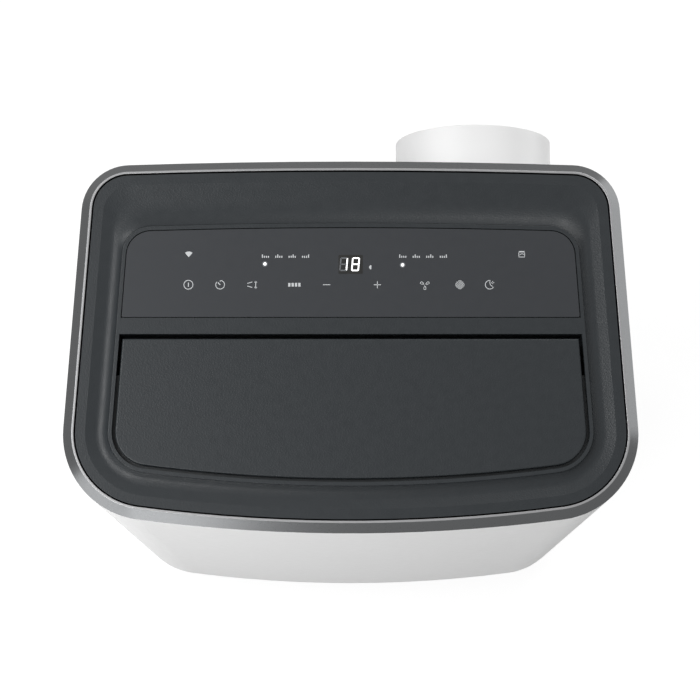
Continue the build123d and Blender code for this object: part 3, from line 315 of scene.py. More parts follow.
@cache
def pebble_group() -> NodeTree:
    """Leather-like moulded grain: rounded pebbles of uneven size with soft valleys.

    Returns:
        The shared group.
    """
    push_mm = 1.1
    fine_share = 0.35
    tree = group_with("pebble_grain", {"Vector": VECTOR, "Scale": NUMBER}, {"Height": NUMBER})
    source, sink = tree.nodes["in"].outputs, tree.nodes["out"].inputs
    warp = group_noise(tree, detail=2.0, pace=0.45)
    fine = group_noise(tree, detail=3.0, pace=3.1)
    push = add_node(tree, "ShaderNodeVectorMath", {1: (push_mm * MM,) * 3}, operation="MULTIPLY_ADD")
    cells = add_node(tree, "ShaderNodeTexVoronoi", {"Smoothness": 0.35}, feature="SMOOTH_F1")
    dome = add_node(
        tree, "ShaderNodeMapRange", {"From Min": 0.75, "From Max": 0.1}, interpolation_type="SMOOTHSTEP"
    )
    total = add_node(tree, "ShaderNodeMath", {1: fine_share}, operation="MULTIPLY_ADD")
    wire(
        tree,
        (warp.outputs["Color"], push.inputs[0]),
        (source["Vector"], push.inputs[2]),
        (push.outputs["Vector"], cells.inputs["Vector"]),
        (source["Scale"], cells.inputs["Scale"]),
        (cells.outputs["Distance"], dome.inputs["Value"]),
        (fine.outputs["Fac"], total.inputs[0]),
        (dome.outputs["Result"], total.inputs[2]),
        (total.outputs[0], sink["Height"]),
    )
    return tree


@cache
def spark_group() -> NodeTree:
    """Fine even roughness of a spark-eroded mould.

    Returns:
        The shared group.
    """
    tree = group_with("spark_grain", {"Vector": VECTOR, "Scale": NUMBER}, {"Height": NUMBER})
    noise = group_noise(tree, detail=4.0)
    noise.inputs["Roughness"].default_value = 0.6
    wire(tree, (noise.outputs["Fac"], tree.nodes["out"].inputs["Height"]))
    return tree


@cache
def drawn_group() -> NodeTree:
    """Fine drawn or rolled lines on metal, long along one axis.

    Returns:
        The shared group.
    """
    tree = group_with(
        "drawn_lines",
        {"Vector": VECTOR, "Stretch": VECTOR, "Gloss A": NUMBER, "Gloss B": NUMBER},
        {"Height": NUMBER, "Roughness": NUMBER},
    )
    source, sink = tree.nodes["in"].outputs, tree.nodes["out"].inputs
    stretch = add_node(tree, "ShaderNodeVectorMath", operation="MULTIPLY")
    noise = add_node(tree, "ShaderNodeTexNoise", {"Scale": 1.0, "Detail": 3.0})
    wire(
        tree,
        (source["Vector"], stretch.inputs[0]),
        (source["Stretch"], stretch.inputs[1]),
        (stretch.outputs["Vector"], noise.inputs["Vector"]),
        (noise.outputs["Fac"], sink["Height"]),
        (group_gloss(tree, noise.outputs["Fac"]), sink["Roughness"]),
    )
    return tree


# Finishes


class Grain(Enum):
    """Texture that a mould leaves on a plastic surface."""

    PEBBLE = "pebble"
    SPARK = "spark"


class Lay(Enum):
    """Direction of the fine lines on a metal surface."""

    ALONG_Z = (1400.0, 1400.0, 60.0)
    EVEN = (900.0, 900.0, 900.0)


def start_material(name: str) -> tuple[Material, Node]:
    """Start a node material with a node for the object's own coordinates.

    Args:
        name: Name of the material.

    Returns:
        The material and its surface shader.
    """
    material = bpy.data.materials.new(name)
    material.use_nodes = True
    add_node(material.node_tree, "ShaderNodeTexCoord", name="place")
    return material, material.node_tree.nodes["Principled BSDF"]


def place_group(material: Material, group: NodeTree, inputs: dict[str, object]) -> Node:
    """Put a shared group into a material, on the object's own coordinates.

    Args:
        material: Material to work on.
        group: The shared group.
        inputs: Values of the group's inputs.

    Returns:
        The group's node.
    """
    tree = material.node_tree
    node = add_node(tree, "ShaderNodeGroup", inputs, node_tree=group)
    wire(tree, (tree.nodes["place"].outputs["Object"], node.inputs["Vector"]))
    return node


def gloss_ends(roughness: float, drift: float) -> dict[str, float]:
    """Ends of a group's gloss range about a middle roughness."""
    return {"Gloss A": roughness - drift, "Gloss B": roughness + drift}


def place_drift(
    material: Material,
    colour: Colour,
    gains: tuple[float, float],
    roughness: float,
    scale: float = 6.0,
) -> Node:
    """Give a material its colour with the slow drift of tone.

    Args:
        material: Material to work on.
        colour: Its middle tone.
        gains: Gains of its darkest and its lightest tone.
        roughness: Its middle roughness.
        scale: Pace of the drift.

    Returns:
        The drift's node, whose roughness is not linked yet.
    """
    gloss_drift = 0.05
    drift = place_group(
        material,
        drift_group(),
        {
            "Scale": scale,
            "Tone A": rgba(toned(colour, gains[0])),
            "Tone B": rgba(toned(colour, gains[1])),
            **gloss_ends(roughness, gloss_drift),
        },
    )
    tree = material.node_tree
    wire(tree, (drift.outputs["Colour"], tree.nodes["Principled BSDF"].inputs["Base Color"]))
    return drift


def raise_bump(material: Material, height: NodeSocket, depth_mm: float) -> None:
    """Feed a height into the surface normal.

    Args:
        material: Material to finish.
        height: Socket that holds the height, 0 to 1.
        depth_mm: Depth of the relief in millimetres.
    """
    tree = material.node_tree
    bump = add_node(tree, "ShaderNodeBump", {"Strength": 1.0, "Distance": depth_mm * MM})
    wire(
        tree,
        (height, bump.inputs["Height"]),
        (bump.outputs["Normal"], tree.nodes["Principled BSDF"].inputs["Normal"]),
    )


@dataclass(frozen=True)
class PlasticFinish:
    """Moulded plastic or rubber with its mould texture and a slow drift of tone."""

    name: str
    colour: Colour
    roughness: float = 0.45
    grain: Grain = Grain.SPARK
    grain_mm: float = 0.4
    depth_mm: float = 0.006
    drift: float = 0.05
    specular: float = 0.5

    @cache
    def material(self) -> Material:
        """Build the finish once.

        Returns:
            Its node material.
        """
        material, shader = start_material(self.name)
        drift = place_drift(material, self.colour, (1 - self.drift, 1 + self.drift), self.roughness)
        group = pebble_group() if self.grain is Grain.PEBBLE else spark_group()
        grain = place_group(material, group, {"Scale": 1 / (self.grain_mm * MM)})
        wire(material.node_tree, (drift.outputs["Roughness"], shader.inputs["Roughness"]))
        shader.inputs["Specular IOR Level"].default_value = self.specular
        raise_bump(material, grain.outputs["Height"], self.depth_mm)
        return material


@dataclass(frozen=True)
class MetalFinish:
    """Bare or plated metal with fine lines from drawing, rolling or turning."""

    name: str
    colour: Colour
    roughness: float = 0.32
    lay: Lay = Lay.EVEN
    depth_mm: float = 0.004
    drift: float = 0.06
    drift_scale: float = 9.0
    gloss_drift: float = 0.07

    @cache
    def material(self) -> Material:
        """Build the finish once.

        Returns:
            Its node material.
        """
        material, shader = start_material(self.name)
        gains = (1 - self.drift, 1 + self.drift)
        place_drift(material, self.colour, gains, self.roughness, self.drift_scale)
        gloss = gloss_ends(self.roughness, self.gloss_drift)
        lines = place_group(material, drawn_group(), {"Stretch": self.lay.value, **gloss})
        wire(material.node_tree, (lines.outputs["Roughness"], shader.inputs["Roughness"]))
        shader.inputs["Metallic"].default_value = 1.0
        raise_bump(material, lines.outputs["Height"], self.depth_mm)
        return material


@dataclass(frozen=True)
class RingPaintedShadeFinish:
    """Silver ring: a flat land on top in the silver's own colour and, below it, a satin bevel in a darker
    copy of that silver, painted shade for the bevel's dimmer reflections.
    """

    name: str
    land: Colour
    # Darker copy of the land's silver: painted shade for the bevel's dimmer reflections.
    bevel: Colour
    land_roughness: float
    bevel_roughness: float
    land_z: float
    blend_mm: tuple[float, float] = (0.25, 0.03)
    gloss_drift: float = 0.008
    depth_mm: float = 0.0002

    @cache
    def material(self) -> Material:
        """Build the finish once.

        Returns:
            Its node material.
        """
        material, shader = start_material(self.name)
        tree = material.node_tree
        split = add_node(tree, "ShaderNodeSeparateXYZ")
        low, high = (self.land_z - below * MM for below in self.blend_mm)
        height = add_node(
            tree, "ShaderNodeMapRange", {"From Min": low, "From Max": high}, interpolation_type="SMOOTHSTEP"
        )
        # The bevel's darker tone is painted shade, a darker copy of the land's silver.
        land_and_painted_shade = {"A": rgba(self.bevel), "B": rgba(self.land)}
        tone = add_node(tree, "ShaderNodeMix", land_and_painted_shade, data_type="RGBA")
        gloss = add_node(tree, "ShaderNodeMix", {"B": self.land_roughness})
        ends = gloss_ends(self.bevel_roughness, self.gloss_drift)
        lines = place_group(material, drawn_group(), {"Stretch": Lay.EVEN.value, **ends})
        wire(
            tree,
            (tree.nodes["place"].outputs["Object"], split.inputs[0]),
            (split.outputs["Z"], height.inputs["Value"]),
            (height.outputs["Result"], tone.inputs["Factor"]),
            (tone.outputs["Result"], shader.inputs["Base Color"]),
            (height.outputs["Result"], gloss.inputs["Factor"]),
            (lines.outputs["Roughness"], gloss.inputs["A"]),
            (gloss.outputs["Result"], shader.inputs["Roughness"]),
        )
        shader.inputs["Metallic"].default_value = 1.0
        raise_bump(material, lines.outputs["Height"], self.depth_mm)
        return material


@dataclass(frozen=True)
class InkFinish:
    """Printed ink with a slightly uneven edge tone; it may glow from behind, and the halos use it as painted
    glow.
    """

    name: str
    colour: Colour
    glow: float = 0.0
    roughness: float = 0.5
    gains: tuple[float, float] = (0.93, 1.05)
    drift_scale: float = 120.0

    @cache
    def material(self) -> Material:
        """Build the finish once.

        Returns:
            Its node material.
        """
        material, shader = start_material(self.name)
        drift = place_drift(material, self.colour, self.gains, self.roughness, self.drift_scale)
        wire(material.node_tree, (drift.outputs["Roughness"], shader.inputs["Roughness"]))
        if self.glow:
            wire(material.node_tree, (drift.outputs["Colour"], shader.inputs["Emission Color"]))
            shader.inputs["Emission Strength"].default_value = self.glow
        return material


Finish = PlasticFinish | MetalFinish | RingPaintedShadeFinish | InkFinish

CASING = PlasticFinish("casing_white", linear(217, 217, 217), 0.42, depth_mm=0.004, drift=0.012)
# Painted light: the stub is the casing's white plastic in a lighter copy, for its top-lit surfaces.
STUB_PAINTED_LIGHT = PlasticFinish("stub_white", linear(234, 234, 234), 0.38, depth_mm=0.003, drift=0.01)
TOP = PlasticFinish("top_charcoal", linear(27, 31, 34), 0.43, Grain.PEBBLE, 1.5, 0.06, 0.04, 0.31)
PANEL = PlasticFinish("panel_charcoal", linear(44, 46, 49), 0.46, grain_mm=0.5, depth_mm=0.006, specular=0.25)
WINDOW = PlasticFinish("display_smoke", linear(30, 30, 29), 0.36, depth_mm=0.002, specular=0.25)
# The ring's bevel colour is painted shade, a darker copy of the land's silver.
BEZEL_PAINTED_SHADE = RingPaintedShadeFinish("bezel_silver", linear(134, 134, 135), linear(88, 89, 90), 0.45, 0.28, RING_Z)
INK = InkFinish("print_grey", linear(184, 186, 188))
INK_DIM = InkFinish("segment_unlit", linear(88, 90, 93))
LIT = InkFinish("signal_white", (1.0, 1.0, 1.0), 1.0)
# Painted glow: the halos are glowing rings painted round the signal dots, not lamps.
HALO_NEAR = InkFinish("halo_near", linear(120, 122, 125), 0.5)
HALO_FAR = InkFinish("halo_far", linear(66, 68, 71), 0.35)
GRIP = PlasticFinish("grip_grey", linear(150, 152, 154), 0.5, grain_mm=0.7, depth_mm=0.012)
INNER_BLACK = PlasticFinish("inner_black", linear(34, 35, 37), 0.55, grain_mm=0.6, depth_mm=0.01)
INNER_GREY = PlasticFinish("inner_grey", linear(188, 190, 191), 0.5, grain_mm=0.7, depth_mm=0.01)
NET = PlasticFinish("filter_grey", linear(84, 88, 92), 0.6, grain_mm=0.5, depth_mm=0.008)
# Painted shade: the hinge pins, moulded in the flap's charcoal, are darkened to near black so they vanish
# into the shaded gap.
PIN_PAINTED_SHADE = PlasticFinish("pin_painted_shade_black", linear(9, 9, 10), 0.8, depth_mm=0.004, specular=0.1)
RUBBER = PlasticFinish("rubber_black", linear(30, 30, 31), 0.75, grain_mm=0.5, depth_mm=0.012, specular=0.35)
FORK = PlasticFinish("castor_grey", linear(98, 99, 101), 0.45, grain_mm=0.5, depth_mm=0.008)
TREAD = PlasticFinish("castor_tread", linear(62, 62, 64), 0.7, grain_mm=0.8, depth_mm=0.02, specular=0.35)
BOARD = PlasticFinish("board_green", linear(30, 96, 62), 0.4, grain_mm=1.2, depth_mm=0.01, drift=0.12)
DISPLAY = PlasticFinish("display_black", linear(24, 25, 27), 0.25, depth_mm=0.002)
PAINT = PlasticFinish("motor_grey", linear(122, 124, 126), 0.4, grain_mm=0.9, depth_mm=0.012)
ENAMEL = PlasticFinish("compressor_black", linear(30, 30, 32), 0.32, grain_mm=1.4, depth_mm=0.02)
STEEL = MetalFinish("zinc_steel", linear(196, 197, 199), 0.34)
FIN = MetalFinish("fin_aluminium", linear(214, 216, 219), 0.36, Lay.ALONG_Z)
COPPER = MetalFinish("drawn_copper", linear(206, 132, 92), 0.3, Lay.ALONG_Z)


def dress(finish: Finish, *nodes: str) -> None:
    """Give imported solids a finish.

    Args:
        finish: The finish to use.
        *nodes: Names of the solids.
    """
    for name in nodes:
        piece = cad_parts[name]
        if not piece.material_slots:
            piece.data.materials.append(None)
        for slot in piece.material_slots:
            slot.material = finish.material()
        LOG.info("dressed %s in %s", name, finish.name)


def hand_over(piece: Object, finish: Finish, body: str, slot: str | None, *nodes: str) -> None:
    """Give a new piece its finish, its body and the solids that it stands for.

    Args:
        piece: The finished mesh.
        finish: Its finish.
        body: Name of the body that it moves with.
        slot: Name of the record's material slot, if one fits; not used.
        *nodes: Solids that it stands for.
    """
    piece.data.materials.clear()
    piece.data.materials.append(finish.material())
    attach(piece, body)
    if nodes:
        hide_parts(*nodes)
    LOG.info("made %s on %s, %d faces", piece.name, body, len(piece.data.polygons))


# Printed marks


@dataclass
class PrintSheet:
    """One flat layer of printed marks on the control panel, drawn in millimetres.

    A mark's place is its x and its depth from the layer's origin. The origin is set from the middle
    line and the cabinet's front face, and moves from key to key.
    """

    name: str
    z: float
    thickness_mm: float = 0.05
    merge_mm: float = 0.002
    arc_step: float = 11.0
    arc_steps_least: int = 6
    origin: tuple[float, float] = (0.0, 0.0)
    piece: Object = field(init=False)

    def __post_init__(self) -> None:
        """Start the layer as an empty mesh in edit mode."""
        clear_selection()
        bpy.ops.mesh.primitive_plane_add(size=MM, location=(0, 0, self.z))
        self.piece = bpy.context.object
        self.piece.name = self.name
        settle(self.piece)
        bpy.ops.object.mode_set(mode="EDIT")
        bpy.ops.mesh.select_all(action="SELECT")
        bpy.ops.mesh.delete(type="VERT")

    def at(self, x: float, depth: float) -> Place:
        """Place of a mark in the part's frame."""
        return (self.origin[0] + x) * MM, FRONT_Y + (self.origin[1] + depth) * MM, self.z

    def bar(self, x: float, depth: float, length: float, width: float, turn: float = 0.0) -> None:
        """Draw a straight stroke.

        Args:
            x: Middle of the stroke.
            depth: Depth of its middle.
            length: Length of the stroke.
            width: Width of the stroke.
            turn: Angle of the stroke from the X axis, in degrees.
        """
        place = self.at(x, depth)
        bpy.ops.mesh.select_all(action="DESELECT")
        bpy.ops.mesh.primitive_plane_add(size=1, location=place)
        bpy.ops.transform.resize(value=(length * MM, width * MM, 1), center_override=place)
        bpy.ops.transform.rotate(value=-math.radians(turn), orient_axis="Z", center_override=place)

    def line(self, start: tuple[float, float], end: tuple[float, float], width: float) -> None:
        """Draw a straight stroke between two points.

        Args:
            start: First point.
            end: Last point.
            width: Width of the stroke.
        """
        run = Vector((end[0] - start[0], end[1] - start[1]))
        turn = math.degrees(math.atan2(run.y, run.x))
        self.bar((start[0] + end[0]) / 2, (start[1] + end[1]) / 2, run.length + width / 2, width, turn)

    def disc(self, x: float, depth: float, radius: float, sides: int = 32) -> None:
        """Draw a filled round mark.

        Args:
            x: Centre of the mark.
            depth: Depth of its centre.
            radius: Radius of the mark.
            sides: Number of its sides.
        """
        bpy.ops.mesh.select_all(action="DESELECT")
        bpy.ops.mesh.primitive_circle_add(
            vertices=sides, radius=radius * MM, fill_type="NGON", location=self.at(x, depth)
        )

    def arc(
        self, x: float, depth: float, radius: float, width: float, start: float = 0.0, sweep: float = 360.0
    ) -> None:
        """Draw a round stroke by spinning a short edge.

        Args:
            x: Centre of the stroke.
            depth: Depth of its centre.
            radius: Radius of the stroke's middle line.
            width: Width of the stroke.
            start: Angle where the stroke starts, in degrees from the X axis.
            sweep: Angle that the stroke covers, in degrees.
        """
        centre = Vector(self.at(x, depth))
        heading = Vector((math.cos(math.radians(start)), math.sin(math.radians(start)), 0))
        side = Vector((-heading.y, heading.x, 0))
        before = self.vertex_count()
        bpy.ops.mesh.select_all(action="DESELECT")
        bpy.ops.mesh.primitive_plane_add(
            size=width * MM, location=centre + heading * radius * MM, rotation=(0, 0, math.radians(start))
        )
        self.choose(lambda vertex: vertex.index >= before and (vertex.co - centre).dot(side) > 0)
        bpy.ops.mesh.delete(type="VERT")
        self.choose(lambda vertex: vertex.index >= before)
        bpy.ops.transform.translate(value=side * width * MM / 2)
        bpy.ops.mesh.spin(
            steps=max(self.arc_steps_least, int(abs(sweep) / self.arc_step)),
            angle=math.radians(sweep),
            center=centre,
            axis=(0, 0, -1),
            use_auto_merge=False,
        )

    def vertex_count(self) -> int:
        """Number of vertices drawn so far."""
        self.piece.update_from_editmode()
        return len(self.piece.data.vertices)

    def choose(self, test: Callable[[MeshVertex], bool]) -> None:
        """Select only the vertices that pass a test.

        Args:
            test: Says whether a vertex is selected.
        """
        bpy.ops.mesh.select_mode(type="VERT")
        bpy.ops.mesh.select_all(action="DESELECT")
        bpy.ops.object.mode_set(mode="OBJECT")
        for vertex in self.piece.data.vertices:
            vertex.select = test(vertex)
        bpy.ops.object.mode_set(mode="EDIT")

    def finish(self) -> Object:
        """Thicken all marks a little and close the layer.

        Returns:
            The finished mesh.
        """
        bpy.ops.mesh.select_all(action="SELECT")
        bpy.ops.mesh.remove_doubles(threshold=self.merge_mm * MM)
        bpy.ops.mesh.normals_make_consistent(inside=False)
        bpy.ops.mesh.extrude_region_move(
            TRANSFORM_OT_translate={"value": (0, 0, self.thickness_mm * MM)}
        )
        bpy.ops.mesh.select_all(action="SELECT")
        bpy.ops.mesh.normals_make_consistent(inside=False)
        bpy.ops.object.mode_set(mode="OBJECT")
        return self.piece


@dataclass
class ControlFace:
    """Pictograms, level ticks, signal dots and the two-digit display on the touch panel."""

    stroke: float = 0.62
    key_row: float = 214.5
    upper_row: float = 241.5
    label_row: float = 239.8
    left_labels: tuple[float, ...] = (-74.0, -62.4, -50.8, -39.2)
    right_labels: tuple[float, ...] = (45.2, 56.9, 68.6, 80.4)
    signal_dots: tuple[tuple[float, float], ...] = ((-74.4, 232.9), (45.0, 232.0))
    dot_radius: float = 1.25
    window: tuple[float, float, float, float] = (-10.6, 10.5, 224.1, 240.8)
    digit_height: float = 10.9
    digit_width: float = 5.6
    digit_stroke: float = 1.15
    digit_slant: float = 5.0
    digit_middle: float = 232.6
    digit_places: tuple[float, float] = (-6.1, 4.2)
    unit_mark: tuple[float, float] = (17.9, 229.9)
    halo_radii: tuple[float, float] = (1.8, 2.5)
    film_mm: float = 0.03
    film_sink: float = 0.02
    film_corner: float = 0.8

    def signal_key(self, sheet: PrintSheet) -> None:
        """Filled fan that opens to the rear."""
        sheet.arc(0, -2.6, 2.5, 5.0, 49, 82)

    def power_key(self, sheet: PrintSheet) -> None:
        """Ring with an upright bar in it."""
        sheet.arc(0, 0, 3.9, self.stroke)
        sheet.bar(0, 0, 3.6, 0.8, 90)

    def timer_key(self, sheet: PrintSheet) -> None:
        """Open ring with a clock hand and a tick.

        Args:
            sheet: Layer with its origin at the key's middle.
        """
        sheet.arc(0, 0, 3.8, self.stroke, 138, 312)
        sheet.line((0, 0), (-1.8, 1.8), 0.8)
        sheet.line((0.1, 3.9), (0.1, 2.8), self.stroke)

    def swing_key(self, sheet: PrintSheet) -> None:
        """Two opening louvre strokes beside an upright double arrow.

        Args:
            sheet: Layer with its origin at the key's middle.
        """
        shaft = 3.0
        for side in (-1, 1):
            sheet.line((-4.1, side * 1.2), (-0.1, side * 2.4), self.stroke)
            for lean in (-0.9, 0.9):
                sheet.line((shaft, side * 3.3), (shaft + lean, side * 2.1), self.stroke)
        sheet.line((shaft, -3.0), (shaft, 3.0), self.stroke)

    def mode_key(self, sheet: PrintSheet) -> None:
        """Row of four upright blocks that stands for a choice of settings."""
        for step in range(4):
            sheet.bar((step - 1.5) * 2.9, 0, 1.9, 3.2)

    def minus_key(self, sheet: PrintSheet) -> None:
        """Level stroke."""
        sheet.bar(0, 0, 6.4, self.stroke)

    def plus_key(self, sheet: PrintSheet) -> None:
        """Level and upright stroke."""
        for turn in (0, 90):
            sheet.bar(0, 0, 6.2, self.stroke, turn)

    def fan_key(self, sheet: PrintSheet) -> None:
        """Three outlined blades round a hub.

        Args:
            sheet: Layer with its origin at the key's middle.
        """
        tip_radius, width = 1.05, 0.55
        root, reach, hub_radius = 0.6, 3.15, 0.9
        for turn in (30, 150, 270):
            out = Vector((math.cos(math.radians(turn)), math.sin(math.radians(turn))))
            across = Vector((-out.y, out.x)) * tip_radius
            tip = out * reach
            sheet.arc(*tip, tip_radius, width, turn - 100, 200)
            for side in (-1, 1):
                sheet.line(tuple(out * root), tuple(tip + across * side), width)
        sheet.disc(0, 0, hub_radius, 20)

    def filter_key(self, sheet: PrintSheet) -> None:
        """Disc filled with crossed lines.

        Args:
            sheet: Layer with its origin at the key's middle.
        """
        radius, gap = 3.8, 1.4
        sheet.arc(0, 0, radius, 0.7)
        for step in range(-2, 3):
            chord = 2 * math.sqrt(radius**2 - (step * gap) ** 2)
            shift = step * gap * math.sqrt(0.5)
            sheet.bar(shift, -shift, chord, self.stroke, 45)
            sheet.bar(shift, shift, chord, self.stroke, -45)

    def night_key(self, sheet: PrintSheet) -> None:
        """Outlined crescent with a small star.

        Args:
            sheet: Layer with its origin at the key's middle.
        """
        sheet.arc(0, 0, 3.8, self.stroke, 80, 250)
        sheet.arc(3.6, 1.9, 3.5, self.stroke, 148, 104)
        for turn, length in ((0, 2.6), (45, 1.5), (90, 2.6), (135, 1.5)):
            sheet.bar(2.6, 1.9, length, 0.6, turn)

    def panel_key(self, sheet: PrintSheet) -> None:
        """Small window outline with a heavy head and a pointer in it.

        Args:
            sheet: Layer with its origin at the key's middle.
        """
        half, peak = 2.5, (0.2, 0.7)
        sheet.bar(0, half - 0.3, 2 * half + self.stroke, 1.2)
        sheet.bar(0, -half, 2 * half + self.stroke, self.stroke)
        for side in (-half, half):
            sheet.bar(side, 0, 2 * half, self.stroke, 90)
        sheet.line((-1.4, -0.4), peak, self.stroke)
        sheet.line(peak, (1.6, -0.2), self.stroke)

    def level_ticks(self, sheet: PrintSheet, level: int) -> None:
        """Row of four ticks, of which one stands tall to count a setting.

        Args:
            sheet: Layer with its origin at the row's middle.
            level: Number of the tall tick, from 0.
        """
        short, tall, width, pitch = 1.7, 2.9, 0.95, 1.75
        for step in range(4):
            height = tall if step == level else short
            sheet.bar((step - 1.5) * pitch, (height - tall) / 2, height, width, 90)

    def icons(self) -> Object:
        """Draw the printed pictograms.

        Returns:
            The printed layer.
        """
        sheet = PrintSheet("panel_icons", PANEL_Z)
        upper_keys = ((self.signal_key, -140.6), (self.panel_key, 148.5))
        lower_keys = (
            (self.power_key, -140.6),
            (self.timer_key, -113.1),
            (self.swing_key, -85.3),
            (self.mode_key, -48.8),
            (self.minus_key, -20.9),
            (self.plus_key, 23.1),
            (self.fan_key, 64.2),
            (self.filter_key, 94.6),
            (self.night_key, 120.4),
        )
        for keys, depth in ((upper_keys, self.upper_row), (lower_keys, self.key_row)):
            for draw, x in keys:
                sheet.origin = (x, depth)
                draw(sheet)
        sheet.origin = self.unit_mark
        sheet.arc(0, 0, 0.95, 1.9, 90, 180)
        for labels in (self.left_labels, self.right_labels):
            for level, x in enumerate(labels):
                sheet.origin = (x, self.label_row)
                self.level_ticks(sheet, level)
        return sheet.finish()

    def lamps(self) -> Object:
        """Draw the glowing signal dots.

        Returns:
            The dots as one layer.
        """
        sheet = PrintSheet("signal_dots", PANEL_Z)
        for x, depth in self.signal_dots:
            sheet.disc(x, depth, self.dot_radius)
        return sheet.finish()

    def halos(self, name: str, inner: float, outer: float) -> Object:
        """Draw painted glow: faint light painted round the signal dots as glowing rings.

        Args:
            name: Name of the layer.
            inner: Inner radius of the rings.
            outer: Outer radius of the rings.

        Returns:
            The rings as one layer.
        """
        sheet = PrintSheet(name, PANEL_Z, self.film_mm)
        for x, depth in self.signal_dots:
            sheet.arc(x, depth, (inner + outer) / 2, outer - inner)
        return sheet.finish()

    def window_film(self) -> Object:
        """Make the smoked film over the display.

        Returns:
            The film with rounded corners.
        """
        left, right, near, far = self.window
        low = (left * MM, FRONT_Y + near * MM, PANEL_Z - self.film_sink * MM)
        high = (right * MM, FRONT_Y + far * MM, PANEL_Z + self.film_mm * MM)
        film = new_box("display_window", low, high)
        make_active(film)
        bpy.ops.object.mode_set(mode="EDIT")
        bpy.ops.mesh.select_mode(type="EDGE")
        bpy.ops.mesh.select_all(action="DESELECT")
        bpy.ops.object.mode_set(mode="OBJECT")
        for edge in film.data.edges:
            ends = [film.data.vertices[index].co for index in edge.vertices]
            edge.select = abs(ends[0].z - ends[1].z) > self.film_sink * MM
        bpy.ops.object.mode_set(mode="EDIT")
        bpy.ops.mesh.bevel(offset=self.film_corner * MM, segments=5)
        bpy.ops.object.mode_set(mode="OBJECT")
        return film

    def segments(self, sheet: PrintSheet, names: str) -> None:
        """Draw segments of one digit.

        Args:
            sheet: Layer with its origin at the digit's middle.
            names: Letters a to g of the segments, from the top one round to the middle one.
        """
        half_height, half_width = self.digit_height / 2, self.digit_width / 2
        tangent = math.tan(math.radians(self.digit_slant))
        flat = {"a": half_height, "g": 0.0, "d": -half_height}
        upright = {"b": (1, 1), "c": (1, -1), "e": (-1, -1), "f": (-1, 1)}
        flat_trim, upright_trim = 0.3, 0.2
        width = self.digit_width - self.digit_stroke * flat_trim
        length = half_height - self.digit_stroke * upright_trim
        for letter in names:
            if letter in flat:
                rise = flat[letter]
                sheet.bar(rise * tangent, rise, width, self.digit_stroke)
            else:
                side, level = upright[letter]
                rise = level * half_height / 2
                place = side * half_width + rise * tangent
                sheet.bar(place, rise, length, self.digit_stroke, 90 - self.digit_slant)

    def digits(self, name: str, lit: tuple[str, str]) -> Object:
        """Draw the lit or the unlit segments of both digits.

        Args:
            name: Name of the layer.
            lit: Segments of the left and the right digit.

        Returns:
            The layer of segments.
        """
        sheet = PrintSheet(name, PANEL_Z + self.film_mm * MM, self.film_mm)
        for x, names in zip(self.digit_places, lit):
            sheet.origin = (x, self.digit_middle)
            self.segments(sheet, names)
        return sheet.finish()

    def build(self) -> None:
        """Make and dress every layer of the panel."""
        hand_over(self.icons(), INK, "cabinet", None)
        hand_over(self.lamps(), LIT, "cabinet", None)
        near, far = self.halo_radii
        hand_over(self.halos("signal_halo_near", self.dot_radius, near), HALO_NEAR, "cabinet", None)
        hand_over(self.halos("signal_halo_far", near, far), HALO_FAR, "cabinet", None)
        hand_over(self.window_film(), WINDOW, "cabinet", "display_black")
        hand_over(self.digits("digits_lit", ("bc", "abcdefg")), LIT, "cabinet", None)
        hand_over(self.digits("digits_unlit", ("adefg", "")), INK_DIM, "cabinet", "display_black")


# Sub-assemblies inside and behind the casing


